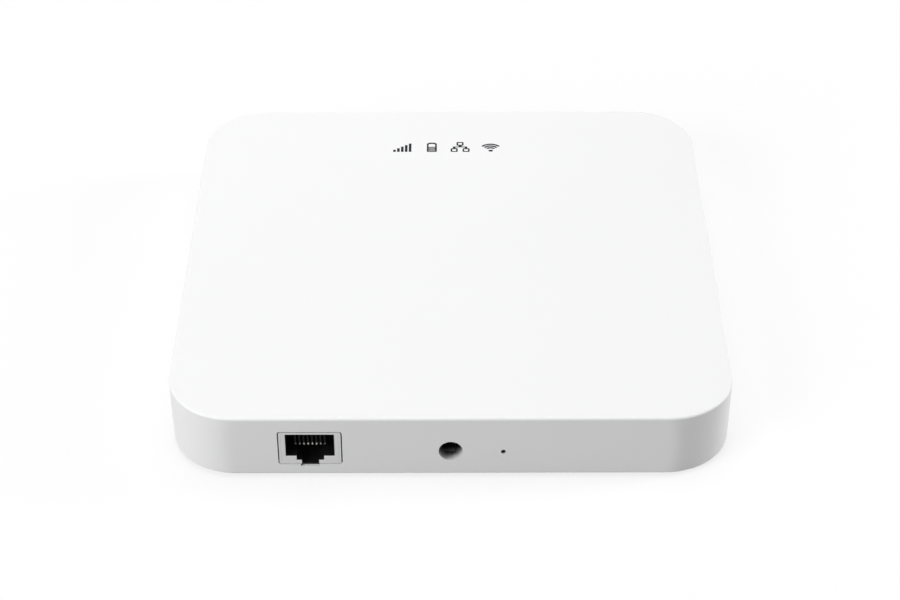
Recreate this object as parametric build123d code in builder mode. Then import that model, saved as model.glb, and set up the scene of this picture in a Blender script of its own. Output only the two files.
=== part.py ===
# Alarm hub: a flat rounded-square housing with a network socket, a power inlet and a recessed reset
# button in its front wall. Millimetres. The hub stands on z = 0 and its front wall faces -Y.
import os
from math import cos, radians, sin, sqrt, tan

from build123d import *

os.makedirs("parts", exist_ok=True)

# Housing
body_width = 138.0
body_depth = 138.0
body_height = 17.6
corner_radius = 16.9
side_draft = 0.5
wall = 2.0
top_wall = 2.0
top_edge_radius = 0.7
rim_radius = 0.6

# Base plate, its vents and the feet
base_recess = 0.3
base_thickness = 1.8
base_gap = 0.2
vent_length = 20.0
vent_width = 2.0
vent_pitch_x = 26.0
vent_pitch_y = 4.5
vent_columns = 2
vent_rows = 9
foot_inset_x = 31.0
foot_inset_y = 12.0
foot_height = 1.0
foot_radius = 4.5
foot_recess = 0.6
foot_gap = 0.15
foot_edge_radius = 0.4

# Screw bosses between the shell and the base plate, and the ribs that the plate seats on
boss_inset = 13.0
boss_radius = 3.0
boss_rib_thickness = 1.0
tube_radius = 3.8
tube_height = 2.9
pilot_depth = 8.0
thread_gap = 0.05
base_screw_radius = 1.25
base_screw_length = 9.0
base_screw_head_radius = 2.4
base_screw_head_height = 1.8
base_screw_head_edge = 0.5
base_screw_sink = 0.8
screw_hole_gap = 0.25
screw_head_gap = 0.3
seat_rib_inset = 19.0
seat_rib_thickness = 1.2
seat_rib_reach = 1.5

# Circuit board on its standoffs
board_thickness = 1.6
board_front_gap = 2.0
board_side_gap = 5.0
board_gap = 0.3
standoff_height = 1.6
standoff_radius = 3.0
front_screw_side_gap = 11.0
front_screw_gap = 21.0
back_screw_side_gap = 21.0
back_screw_gap = 10.0
board_screw_radius = 0.95
board_screw_length = 4.0
board_screw_head_radius = 1.8
board_screw_head_height = 1.3
board_screw_head_edge = 0.4

# Network socket: metal face, stepped mouth and black core
jack_x = -34.06
jack_face_width = 15.0
jack_face_height = 9.85
jack_length = 15.6
jack_front_length = 11.8
jack_gap = 0.22
jack_side_gap = 0.3
jack_set_back = 0.1
jack_sink = 1.87
shield_sheet = 0.25
shield_bend = 0.25
shield_leg_width = 1.5
shield_leg_inset = 1.5
mouth_width = 11.8
mouth_height = 6.74
mouth_floor = 2.38
shoulder_width = 6.63
shoulder_drop = 1.3
latch_width = 4.15
latch_drop = 2.7
plug_depth = 11.2
insert_gap = 0.05
keel_wall = 0.2
keel_floor = 0.4
keel_gap = 0.1
keel_set_back = 0.65
mouth_edge = 0.1
seam_offset = 6.9
seam_width = 0.2
seam_depth = 0.12

# Contact wires in the socket's mouth, and their tails to the board
contact_count = 8
contact_pitch = 1.016
wire = 0.36
contact_length = 4.2
contact_slope = 72.0
contact_hook = 0.5
contact_hook_slope = 20.0
contact_root_depth = 0.9
contact_root_drop = 0.7
lead_drop = 0.25
lead_start = 0.8
lead_tail_depth = 13.3
lead_bend = 0.6
lead_slot_gap = 0.07
tail_below = 0.8
tail_hole_gap = 0.1

# Power inlet: hole in the wall, jack body, pin and sprung leaf
power_x = -0.1
power_axis_height = 2.05
power_hole_radius = 2.9
power_body_width = 9.0
power_body_above = 3.9
power_body_length = 11.5
power_body_gap = 0.1
power_body_edge = 1.0
power_bore_radius = 3.2
power_bore_depth = 9.3
power_pin_radius = 1.0
power_pin_tip_radius = 0.7
power_pin_set_back = 2.3
power_pin_fit = 0.05
power_tab_width = 2.4
power_tab_thickness = 0.5
power_tab_reach = 2.8
leaf_width = 2.2
leaf_thickness = 0.3
leaf_gap = 0.2
leaf_root_margin = 0.4
leaf_root_drop = 3.3
leaf_bump_drop = 2.55
leaf_bump_reach = 5.4
leaf_bump_radius = 1.2
leaf_end_drop = 3.2
leaf_end_reach = 7.4
leaf_end_margin = 0.5

# Reset button behind its pinhole
reset_x = 12.62
reset_axis_height = 1.8
pinhole_radius = 0.6
pinhole_land = 0.6
pinhole_core_radius = 1.3
pinhole_collar_wall = 0.7
pinhole_collar_length = 1.1
reset_tip_gap = 0.4
reset_stem_length = 1.0
reset_stem_width = 2.6
reset_stem_height = 1.4
reset_stem_edge = 0.3
reset_stem_gap = 0.1
reset_body_width = 6.0
reset_body_height = 3.5
reset_body_length = 3.3
reset_cover_sheet = 0.2
reset_cup_width = 3.6
reset_cup_height = 2.3
reset_cup_depth = 1.4
reset_rest_gap = 0.05
reset_flange_gap = 0.15
reset_flange_thickness = 0.5
reset_nub_radius = 0.4
reset_nub_length = 0.3
dome_radius = 1.05
dome_crown_radius = 0.4
dome_height = 0.45
dome_sheet = 0.1
dome_rim = 0.2
reset_tab_length = 0.9
reset_tab_width = 0.8
reset_tab_thickness = 0.2

# Status lights under the pictograms
status_x = (-13.4, -5.1, 2.9, 11.6)
status_inset = 19.5
light_skin = 0.8
light_post = 5.6
light_post_corner = 0.6
light_gap = 0.3
light_top_gap = 0.1
light_flange = 1.2
baffle_margin = 1.5
baffle_height = 6.4
led_length = 1.6
led_width = 0.8
led_base = 0.3
led_lens_length = 1.0
led_lens_height = 0.4

# Processor and memory under a metal can
can_x = -9.0
can_y = -8.0
can_width = 34.0
can_depth = 30.0
can_height = 3.2
can_sheet = 0.25
can_corner = 1.0
can_edge = 0.4
can_hole_radius = 0.7
can_hole_pitch = 5.0
can_hole_columns = 5
can_hole_rows = 4
processor_offset = -7.0
processor_size = 15.0
processor_base = 0.5
processor_cap_size = 13.0
processor_cap = 0.9
thermal_pad_size = 12.0
memory_offset = 9.0
memory_width = 9.0
memory_depth = 13.0
memory_height = 1.0
flash_offset = -5.0
flash_gap = 3.0
flash_width = 6.0
flash_depth = 8.0
flash_height = 1.4
chip_edge = 0.15

# Radio modules: a small board with a metal lid each
module_board = 0.8
lid_corner = 0.8
lid_edge = 0.3
lid_margin = 1.0
cellular_inset = 4.0
cellular_y = 26.0
cellular_width = 32.0
cellular_depth = 29.0
cellular_lid = 1.8
wifi_inset = 4.0
wifi_width = 16.0
wifi_depth = 20.0
wifi_lid_depth = 13.0
wifi_lid = 1.6
mesh_side_gap = 6.0
mesh_front_gap = 2.0
mesh_width = 14.0
mesh_depth = 18.0
mesh_lid_depth = 11.0
mesh_lid = 1.5

# Antennas and the cable between the flexible one and the cellular module
flex_y = 0.0
flex_length = 60.0
flex_height = 9.0
flex_sheet = 0.2
flex_corner = 2.0
flex_lift = 0.2
coax_radius = 0.55
coax_gap = 0.05
coax_wall_run = 14.0
coax_cross_run = 12.0
coax_lead_in = 6.2
coax_bend = 5.0
coax_plug_offset_x = -8.0
coax_plug_offset_y = -6.0
coax_plug_radius = 1.4
coax_plug_height = 1.4
coax_sleeve_length = 3.0
coax_sleeve_width = 1.6
inverted_f_side_gap = 17.0
inverted_f_back_gap = 8.0
inverted_f_length = 22.0
inverted_f_height = 6.0
inverted_f_bar = 1.8
inverted_f_leg = 1.4
inverted_f_feed = 4.5
inverted_f_sheet = 0.3

# Network transformer and power parts
transformer_gap = 5.3
transformer_width = 16.0
transformer_depth = 10.0
transformer_height = 5.6
transformer_edge = 0.5
transformer_pin_count = 8
transformer_pin_pitch = 1.9
transformer_pin_width = 0.5
transformer_pin_sheet = 0.25
transformer_pin_shoulder = 0.7
transformer_pin_reach = 1.6
transformer_pin_rise = 2.0
inductor_x = 2.0
inductor_gap = 8.0
inductor_pitch = 10.0
inductor_count = 2
inductor_size = 6.6
inductor_height = 3.0
inductor_corner = 1.4
inductor_edge = 0.5
capacitor_x = 30.0
capacitor_inset = 19.0
capacitor_pitch = 9.0
capacitor_count = 3
capacitor_radius = 3.15
capacitor_height = 5.8
capacitor_edge = 0.4
capacitor_base = 6.6
capacitor_base_height = 1.0
capacitor_base_cut = 1.2

# Backup battery in its tray, with its guard board, wires and plug
battery_side_gap = 5.4
battery_front_gap = 32.0
battery_width = 36.0
battery_length = 54.0
battery_thickness = 8.0
battery_corner = 3.0
battery_edge = 1.5
battery_gap = 0.4
battery_lip = 4.2
battery_lip_thickness = 0.6
battery_lip_margin = 2.0
battery_pad_margin = 3.0
battery_pad_thickness = 0.5
tray_wall = 1.2
tray_height = 3.0
tray_corner = 1.0
bay_gap = 1.2
guard_width = 28.0
guard_depth = 3.6
guard_thickness = 0.8
battery_wire_offset = -9.0
battery_wire_radius = 0.6
battery_wire_pitch = 2.0
battery_wire_gap = 0.05
battery_wire_bend = 4.0
battery_wire_run_count = 3
battery_socket_gap = 3.5
battery_socket_width = 8.0
battery_socket_depth = 6.0
battery_socket_height = 4.4
battery_socket_wall = 0.8
battery_plug_gap = 0.1
battery_plug_out = 1.0


def in_a_row(middle, pitch, count):
    # Evenly spaced places on both sides of a middle
    return [middle + (i - (count - 1) / 2) * pitch for i in range(count)]


# Levels, from the ground up
base_bottom_z = foot_height + base_recess
base_top_z = base_bottom_z + base_thickness
board_bottom_z = base_top_z + standoff_height
board_top_z = board_bottom_z + board_thickness
boss_bottom_z = base_top_z + tube_height
screw_seat_z = base_bottom_z + base_screw_sink + base_screw_head_height
top_z = foot_height + body_height
ceiling_z = top_z - top_wall
baffle_top_z = board_top_z + baffle_height
battery_bottom_z = base_top_z + battery_pad_thickness

# Inside of the housing and outline of the board
bottom_inset = body_height * tan(radians(side_draft))
cavity_width = body_width - 2 * wall
cavity_depth = body_depth - 2 * wall
cavity_radius = corner_radius - wall
front_y = -body_depth / 2
inner_front_y = front_y + wall
board_right_x = cavity_width / 2 - board_side_gap
board_back_y = cavity_depth / 2 - board_side_gap
board_front_y = inner_front_y + board_front_gap
boss_x = body_width / 2 - boss_inset
boss_y = body_depth / 2 - boss_inset
foot_x = body_width / 2 - foot_inset_x
foot_y = body_depth / 2 - foot_inset_y
seat_rib_x = cavity_width / 2 - seat_rib_inset
seat_rib_y = cavity_depth / 2 - seat_rib_inset
board_notch_x = boss_x - tube_radius - board_gap
board_notch_y = boss_y - tube_radius - board_gap
front_screw_x = cavity_width / 2 - front_screw_side_gap
back_screw_x = cavity_width / 2 - back_screw_side_gap
front_screw_y = inner_front_y + front_screw_gap
back_screw_y = cavity_depth / 2 - back_screw_gap
board_screw_places = [
    (-front_screw_x, front_screw_y),
    (front_screw_x, front_screw_y),
    (-back_screw_x, back_screw_y),
    (back_screw_x, back_screw_y),
]

# Places in the network socket
jack_face_y = front_y + jack_set_back
jack_rear_y = jack_face_y + jack_front_length
jack_back_y = jack_face_y + jack_length
jack_bottom_z = board_top_z - jack_sink
jack_middle_z = jack_bottom_z + jack_face_height / 2
jack_corner_radius = shield_bend + shield_sheet
shield_inside_width = jack_face_width - 2 * shield_sheet
shield_inside_top_z = jack_bottom_z + jack_face_height - shield_sheet
shield_leg_x = jack_face_width / 2 - shield_sheet / 2
shield_leg_y = jack_rear_y + shield_leg_inset + shield_leg_width / 2
insert_front_y = jack_face_y + shield_sheet + insert_gap
insert_width = shield_inside_width - 2 * insert_gap
insert_top_z = shield_inside_top_z - insert_gap
insert_bottom_z = jack_bottom_z + shield_sheet + insert_gap
mouth_bottom_z = jack_bottom_z + mouth_floor
mouth_top_z = mouth_bottom_z + mouth_height
latch_z = mouth_bottom_z - latch_drop
keel_bottom_z = latch_z - keel_floor
keel_width = latch_width + 2 * keel_wall
keel_front_y = jack_face_y + keel_set_back
wire_x = in_a_row(jack_x, contact_pitch, contact_count)
pin_x = in_a_row(jack_x, transformer_pin_pitch, transformer_pin_count)
contact_root_y = jack_face_y + contact_root_depth
contact_root_z = mouth_top_z - contact_root_drop
contact_tip_y = contact_root_y + contact_length * cos(radians(contact_slope))
contact_tip_z = contact_root_z - contact_length * sin(radians(contact_slope))
lead_z = mouth_top_z - lead_drop
lead_tail_y = jack_face_y + lead_tail_depth
tail_bottom_z = board_bottom_z - tail_below

# Places in the power inlet
power_z = board_top_z + power_axis_height
power_front_y = inner_front_y + power_body_gap
power_back_y = power_front_y + power_body_length
power_bore_end_y = power_front_y + power_bore_depth
leaf_root_y = power_bore_end_y - leaf_root_margin
leaf_end_y = leaf_root_y - leaf_end_reach

# Places in the reset switch
reset_z = board_top_z + reset_axis_height
reset_tip_y = inner_front_y + pinhole_collar_length + reset_tip_gap
reset_cover_y = reset_tip_y + reset_stem_length
reset_body_y = reset_cover_y + reset_cover_sheet
reset_flange_y = reset_body_y + reset_rest_gap
reset_nub_y = reset_flange_y + reset_flange_thickness
reset_cup_end_y = reset_body_y + reset_cup_depth

# Places of the processor, the modules and the power parts on the board
processor_x = can_x + processor_offset
memory_x = can_x + memory_offset
flash_x = can_x + flash_offset
flash_y = can_y - can_depth / 2 - flash_gap - flash_depth / 2
cellular_x = -board_right_x + cellular_inset + cellular_width / 2
wifi_x = -board_right_x + wifi_inset + wifi_width / 2
mesh_x = cellular_x + cellular_width / 2 + mesh_side_gap + mesh_width / 2
mesh_y = can_y + can_depth / 2 + mesh_front_gap + mesh_depth / 2
inverted_f_x = board_right_x - inverted_f_side_gap - inverted_f_length
inverted_f_y = board_back_y - inverted_f_back_gap
transformer_y = jack_back_y + transformer_gap + transformer_depth / 2
inductor_y = power_back_y + inductor_gap + inductor_size / 2
capacitor_y = board_front_y + capacitor_inset

# Places of the status lights
status_y = body_depth / 2 - status_inset
status_places = [(x, status_y) for x in status_x]
light_left_x = min(status_x) - light_post / 2 - baffle_margin
light_right_x = max(status_x) + light_post / 2 + baffle_margin

# Places of the battery, its tray and its lead
battery_x = cavity_width / 2 - battery_side_gap - tray_wall - battery_gap - battery_width / 2
battery_y = board_front_y + battery_front_gap + battery_length / 2
battery_wire_x = battery_x + battery_wire_offset
battery_back_y = battery_y + battery_length / 2
tray_front_y = battery_y - battery_length / 2 - battery_gap
tray_back_y = battery_back_y + battery_lip + battery_gap
tray_middle_y = (tray_front_y + tray_back_y) / 2
tray_width = battery_width + 2 * battery_gap
tray_length = tray_back_y - tray_front_y
bay_left_x = battery_x - tray_width / 2 - tray_wall - bay_gap
bay_length = tray_length + 2 * (tray_wall + bay_gap)
lip_bottom_z = battery_bottom_z + (battery_thickness - battery_lip_thickness) / 2
lip_middle_y = battery_back_y + battery_lip / 2
guard_bottom_z = lip_bottom_z + battery_lip_thickness
guard_top_z = guard_bottom_z + guard_thickness
battery_socket_front_y = tray_back_y + tray_wall + bay_gap + battery_socket_gap
battery_plug_front_y = battery_socket_front_y - battery_plug_out
battery_plug_z = board_top_z + battery_socket_height / 2

# Place of the antenna cable
cellular_top_z = board_top_z + module_board + cellular_lid
coax_z = cellular_top_z + coax_plug_height / 2
coax_x = -cavity_width / 2 + flex_sheet + coax_gap + coax_radius
coax_plug_x = cellular_x + coax_plug_offset_x
coax_plug_y = cellular_y + coax_plug_offset_y
coax_turn_y = coax_plug_y - coax_cross_run
coax_start_y = coax_turn_y - coax_wall_run


def level(z):
    return Plane.XY.offset(z)


def facing(y):
    # A plane that faces out of the front wall, with x across and z up
    return Plane.XZ.offset(-y)


def plug_mouth(margin):
    # Stepped outline of the socket: the plug's body, its latch shoulders and its latch
    steps = (
        (mouth_width, mouth_bottom_z - margin, mouth_top_z + margin),
        (shoulder_width, mouth_bottom_z - shoulder_drop - margin, mouth_top_z),
        (latch_width, latch_z - margin, mouth_top_z),
    )
    for width, low_z, high_z in steps:
        with Locations((jack_x, low_z)):
            Rectangle(
                width + 2 * margin,
                high_z - low_z,
                align=(Align.CENTER, Align.MIN),
            )


def lead_run(width):
    # One tail seen from the side: along the socket's roof, then down through the board
    with BuildLine() as run:
        FilletPolyline(
            (jack_face_y + lead_start, lead_z),
            (lead_tail_y, lead_z),
            (lead_tail_y, tail_bottom_z),
            radius=lead_bend,
        )
    trace(run.line, line_width=width)


# Shell: the top and the side walls in one moulding, slightly narrower at its rim
with BuildPart() as top_shell:
    with BuildSketch(level(foot_height)):
        RectangleRounded(
            body_width - 2 * bottom_inset,
            body_depth - 2 * bottom_inset,
            corner_radius - bottom_inset,
        )
    extrude(amount=body_height, taper=-side_draft)
    fillet(top_shell.faces().sort_by(Axis.Z)[-1].edges(), top_edge_radius)
    fillet(top_shell.faces().sort_by(Axis.Z)[0].edges(), rim_radius)
    with BuildSketch(level(foot_height)):
        RectangleRounded(cavity_width, cavity_depth, cavity_radius)
    extrude(amount=ceiling_z - foot_height, mode=Mode.SUBTRACT)
    # Ribs on the side and back walls, whose ends seat the base plate
    with BuildSketch(level(base_top_z)):
        with GridLocations(cavity_width - seat_rib_reach, 2 * seat_rib_y, 2, 2):
            Rectangle(seat_rib_reach, seat_rib_thickness)
        with Locations((0, (cavity_depth - seat_rib_reach) / 2)):
            with GridLocations(2 * seat_rib_x, 0, 2, 1):
                Rectangle(seat_rib_thickness, seat_rib_reach)
    extrude(amount=ceiling_z - base_top_z)
    # Screw bosses, ribbed to the walls beside them
    with BuildSketch(level(boss_bottom_z)):
        with GridLocations(2 * boss_x, 2 * boss_y, 2, 2):
            Circle(boss_radius)
        with GridLocations(cavity_width / 2 + boss_x, 2 * boss_y, 2, 2):
            Rectangle(cavity_width / 2 - boss_x, boss_rib_thickness)
        with GridLocations(2 * boss_x, cavity_depth / 2 + boss_y, 2, 2):
            Rectangle(boss_rib_thickness, cavity_depth / 2 - boss_y)
    extrude(amount=ceiling_z - boss_bottom_z)
    with BuildSketch(level(boss_bottom_z)):
        with GridLocations(2 * boss_x, 2 * boss_y, 2, 2):
            Circle(base_screw_radius + thread_gap)
    extrude(amount=pilot_depth, mode=Mode.SUBTRACT)
    # Collar behind the pinhole
    with BuildSketch(facing(inner_front_y)):
        with Locations((reset_x, reset_z)):
            Circle(pinhole_core_radius + pinhole_collar_wall)
    extrude(amount=-pinhole_collar_length)
    # Openings for the power plug, the reset pin and the network socket, notched for its keel
    with BuildSketch(facing(front_y)):
        with Locations((power_x, power_z)):
            Circle(power_hole_radius)
        with Locations((reset_x, reset_z)):
            Circle(pinhole_radius)
        with Locations((jack_x, jack_middle_z)):
            RectangleRounded(
                jack_face_width + 2 * jack_side_gap,
                jack_face_height + 2 * jack_gap,
                jack_corner_radius + jack_gap,
            )
        with Locations((jack_x, keel_bottom_z - keel_gap)):
            Rectangle(
                keel_width + 2 * keel_gap,
                jack_middle_z - keel_bottom_z,
                align=(Align.CENTER, Align.MIN),
            )
    extrude(amount=-2 * wall, mode=Mode.SUBTRACT)
    # The pinhole is a short land with a wider core behind it
    with BuildSketch(facing(front_y + pinhole_land)):
        with Locations((reset_x, reset_z)):
            Circle(pinhole_core_radius)
    extrude(amount=pinhole_land - wall - pinhole_collar_length, mode=Mode.SUBTRACT)
    # Pockets that thin the top over the status lights
    with BuildSketch(level(ceiling_z)):
        with Locations(*status_places):
            Rectangle(light_post + 2 * light_gap, light_post + 2 * light_gap)
    extrude(amount=top_wall - light_skin, mode=Mode.SUBTRACT)

# Base plate, let into the shell from below
with BuildPart() as base_plate:
    with BuildSketch(level(base_bottom_z)):
        RectangleRounded(
            cavity_width - 2 * base_gap,
            cavity_depth - 2 * base_gap,
            cavity_radius - base_gap,
        )
        with Locations((can_x, can_y)):
            with GridLocations(vent_pitch_x, vent_pitch_y, vent_columns, vent_rows):
                SlotOverall(vent_length, vent_width, mode=Mode.SUBTRACT)
    extrude(amount=base_thickness)
    with BuildSketch(level(base_top_z)):
        with GridLocations(2 * boss_x, 2 * boss_y, 2, 2):
            Circle(tube_radius)
    extrude(amount=tube_height)
    with BuildSketch(level(base_top_z)):
        with Locations(*board_screw_places):
            Circle(standoff_radius)
    extrude(amount=standoff_height)
    with BuildSketch(level(base_top_z)):
        with Locations((battery_x, tray_middle_y)):
            RectangleRounded(
                tray_width + 2 * tray_wall,
                tray_length + 2 * tray_wall,
                tray_corner + tray_wall,
            )
            RectangleRounded(tray_width, tray_length, tray_corner, mode=Mode.SUBTRACT)
    extrude(amount=tray_height)
    with Locations(Plane(origin=(0, 0, base_bottom_z), z_dir=(0, 0, -1))):
        with GridLocations(2 * boss_x, 2 * boss_y, 2, 2):
            CounterBoreHole(
                base_screw_radius + screw_hole_gap,
                base_screw_head_radius + screw_head_gap,
                base_screw_sink + base_screw_head_height,
            )
    with Locations(level(board_bottom_z)):
        with Locations(*board_screw_places):
            Hole(
                board_screw_radius + thread_gap,
                depth=board_screw_length - board_thickness + thread_gap,
            )
    with BuildSketch(level(base_bottom_z)):
        with GridLocations(2 * foot_x, 2 * foot_y, 2, 2):
            Circle(foot_radius + foot_gap)
    extrude(amount=foot_recess, mode=Mode.SUBTRACT)

# Feet, let into the underside
with BuildPart() as rubber_feet:
    with BuildSketch(Plane.XY):
        with GridLocations(2 * foot_x, 2 * foot_y, 2, 2):
            Circle(foot_radius)
    extrude(amount=base_bottom_z + foot_recess)
    fillet(rubber_feet.faces().group_by(Axis.Z)[0].edges(), foot_edge_radius)

# Screws that pull the base plate up to the shell's bosses
with BuildPart() as base_screws:
    with BuildSketch(level(screw_seat_z - base_screw_head_height)):
        with GridLocations(2 * boss_x, 2 * boss_y, 2, 2):
            Circle(base_screw_head_radius)
    extrude(amount=base_screw_head_height)
    fillet(base_screws.faces().group_by(Axis.Z)[0].edges(), base_screw_head_edge)
    with BuildSketch(level(screw_seat_z)):
        with GridLocations(2 * boss_x, 2 * boss_y, 2, 2):
            Circle(base_screw_radius)
    extrude(amount=base_screw_length)

# Circuit board, cut out for the bosses, the two sockets and the battery
with BuildPart() as main_board:
    with BuildSketch(level(board_bottom_z)):
        Rectangle(2 * board_right_x, 2 * board_notch_y)
        with Locations((0, board_front_y)):
            Rectangle(
                2 * board_notch_x,
                board_back_y - board_front_y,
                align=(Align.CENTER, Align.MIN),
            )
        with Locations((jack_x, board_front_y)):
            Rectangle(
                jack_face_width + 2 * board_gap,
                jack_rear_y + board_gap - board_front_y,
                align=(Align.CENTER, Align.MIN),
                mode=Mode.SUBTRACT,
            )
        with Locations((power_x, board_front_y)):
            Rectangle(
                power_body_width + 2 * board_gap,
                power_back_y + board_gap - board_front_y,
                align=(Align.CENTER, Align.MIN),
                mode=Mode.SUBTRACT,
            )
        with Locations((bay_left_x, tray_middle_y)):
            Rectangle(
                board_right_x - bay_left_x,
                bay_length,
                align=(Align.MIN, Align.CENTER),
                mode=Mode.SUBTRACT,
            )
        with Locations(*board_screw_places):
            Circle(board_screw_radius + screw_hole_gap, mode=Mode.SUBTRACT)
        with Locations(*[(x, lead_tail_y) for x in wire_x]):
            Circle(wire / sqrt(2) + tail_hole_gap, mode=Mode.SUBTRACT)
        with Locations((jack_x, shield_leg_y)):
            with GridLocations(2 * shield_leg_x, 0, 2, 1):
                Rectangle(
                    shield_sheet + 2 * tail_hole_gap,
                    shield_leg_width + 2 * tail_hole_gap,
                    mode=Mode.SUBTRACT,
                )
    extrude(amount=board_thickness)

# Screws that hold the board on its standoffs
with BuildPart() as board_screws:
    with BuildSketch(level(board_top_z)):
        with Locations(*board_screw_places):
            Circle(board_screw_head_radius)
    extrude(amount=board_screw_head_height)
    chamfer(board_screws.faces().group_by(Axis.Z)[-1].edges(), board_screw_head_edge)
    with BuildSketch(level(board_top_z)):
        with Locations(*board_screw_places):
            Circle(board_screw_radius)
    extrude(amount=-board_screw_length)

# Network socket's metal shell, folded from sheet and open under its back half
with BuildPart() as ethernet_shield:
    with BuildSketch(facing(jack_face_y)):
        with Locations((jack_x, jack_middle_z)):
            RectangleRounded(jack_face_width, jack_face_height, jack_corner_radius)
            RectangleRounded(
                shield_inside_width,
                jack_face_height - 2 * shield_sheet,
                shield_bend,
                mode=Mode.SUBTRACT,
            )
    extrude(amount=-jack_length)
    # Its face, with eased edges round the mouth and a seam on each side
    with BuildSketch(facing(jack_face_y)):
        with Locations((jack_x, jack_middle_z)):
            RectangleRounded(jack_face_width, jack_face_height, jack_corner_radius)
    extrude(amount=-shield_sheet)
    with BuildSketch(facing(jack_face_y)):
        plug_mouth(0)
    extrude(amount=-shield_sheet, mode=Mode.SUBTRACT)
    face_edges = ethernet_shield.faces().sort_by(Axis.Y)[0].edges()
    mouth_edges = face_edges.filter_by_position(
        Axis.X,
        jack_x - mouth_width / 2 - mouth_edge,
        jack_x + mouth_width / 2 + mouth_edge,
    ).filter_by_position(
        Axis.Z,
        jack_bottom_z + mouth_edge,
        mouth_top_z + mouth_edge,
    )
    chamfer(mouth_edges, mouth_edge)
    with BuildSketch(facing(jack_face_y)):
        with Locations((jack_x, jack_middle_z)):
            with GridLocations(2 * seam_offset, 0, 2, 1):
                Rectangle(seam_width, jack_face_height)
    extrude(amount=-seam_depth, mode=Mode.SUBTRACT)
    with BuildSketch(facing(jack_back_y - shield_sheet)):
        with Locations((jack_x, jack_middle_z)):
            RectangleRounded(jack_face_width, jack_face_height, jack_corner_radius)
    extrude(amount=-shield_sheet)
    # The floor is slotted for the plug's latch, and the back half stands on the board
    with BuildSketch(level(jack_bottom_z)):
        with Locations((jack_x, jack_face_y + shield_sheet)):
            Rectangle(
                keel_width + 2 * keel_gap,
                jack_front_length - shield_sheet,
                align=(Align.CENTER, Align.MIN),
            )
    extrude(amount=shield_sheet, mode=Mode.SUBTRACT)
    with BuildSketch(level(jack_bottom_z)):
        with Locations((jack_x, jack_rear_y)):
            Rectangle(jack_face_width, jack_length, align=(Align.CENTER, Align.MIN))
    extrude(amount=board_top_z - jack_bottom_z, mode=Mode.SUBTRACT)
    with BuildSketch(level(tail_bottom_z)):
        with Locations((jack_x, shield_leg_y)):
            with GridLocations(2 * shield_leg_x, 0, 2, 1):
                Rectangle(shield_sheet, shield_leg_width)
    extrude(amount=board_top_z - tail_bottom_z)

# Network socket's black core, with the stepped cavity for the plug and slots for the tails
with BuildPart() as ethernet_insert:
    with BuildSketch(facing(insert_front_y)):
        with Locations((jack_x, (insert_bottom_z + insert_top_z) / 2)):
            RectangleRounded(insert_width, insert_top_z - insert_bottom_z, shield_bend)
    extrude(amount=insert_front_y - jack_rear_y)
    with BuildSketch(facing(keel_front_y)):
        with Locations((jack_x, keel_bottom_z)):
            Rectangle(keel_width, mouth_bottom_z - keel_bottom_z, align=(Align.CENTER, Align.MIN))
    extrude(amount=keel_front_y - jack_rear_y)
    with BuildSketch(facing(jack_rear_y)):
        with Locations((jack_x, (board_top_z + insert_top_z) / 2)):
            RectangleRounded(insert_width, insert_top_z - board_top_z, shield_bend)
    extrude(amount=jack_rear_y - jack_back_y + shield_sheet + insert_gap)
    with BuildSketch(facing(insert_front_y)):
        plug_mouth(insert_gap)
    extrude(amount=-plug_depth, mode=Mode.SUBTRACT)
    with BuildSketch(*[Plane.YZ.offset(x) for x in wire_x]):
        lead_run(wire + 2 * lead_slot_gap)
    extrude(amount=wire / 2 + lead_slot_gap, both=True, mode=Mode.SUBTRACT)

# Fixed tails of the contacts, from the roof of the mouth down through the board
with BuildPart() as ethernet_leads:
    with BuildSketch(*[Plane.YZ.offset(x) for x in wire_x]):
        lead_run(wire)
    extrude(amount=wire / 2, both=True)

# Sprung contact wires that hang into the mouth and fold up to the roof as a plug goes in
with BuildPart() as ethernet_contacts:
    with BuildSketch(*[Plane.YZ.offset(x) for x in wire_x]):
        with Locations(((contact_root_y + contact_tip_y) / 2, (contact_root_z + contact_tip_z) / 2)):
            SlotCenterToCenter(contact_length, wire, rotation=-contact_slope)
        with Locations((
            contact_tip_y + contact_hook / 2 * cos(radians(contact_hook_slope)),
            contact_tip_z - contact_hook / 2 * sin(radians(contact_hook_slope)),
        )):
            SlotCenterToCenter(contact_hook, wire, rotation=-contact_hook_slope)
    extrude(amount=wire / 2, both=True)

# Isolation transformer behind the socket, with its bent pins
with BuildPart() as ethernet_transformer:
    with BuildSketch(level(board_top_z)):
        with Locations((jack_x, transformer_y)):
            Rectangle(transformer_width, transformer_depth)
    extrude(amount=transformer_height)
    chamfer(ethernet_transformer.faces().sort_by(Axis.Z)[-1].edges(), transformer_edge)
    for side in (-1, 1):
        side_y = transformer_y + side * transformer_depth / 2
        with BuildSketch(*[Plane.YZ.offset(x) for x in pin_x]):
            with BuildLine():
                FilletPolyline(
                    (side_y, board_top_z + transformer_pin_rise),
                    (side_y + side * transformer_pin_shoulder, board_top_z + transformer_pin_rise),
                    (side_y + side * transformer_pin_shoulder, board_top_z + transformer_pin_sheet / 2),
                    (side_y + side * transformer_pin_reach, board_top_z + transformer_pin_sheet / 2),
                    radius=transformer_pin_sheet,
                )
            trace(line_width=transformer_pin_sheet)
        extrude(amount=transformer_pin_width / 2, both=True)

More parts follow.
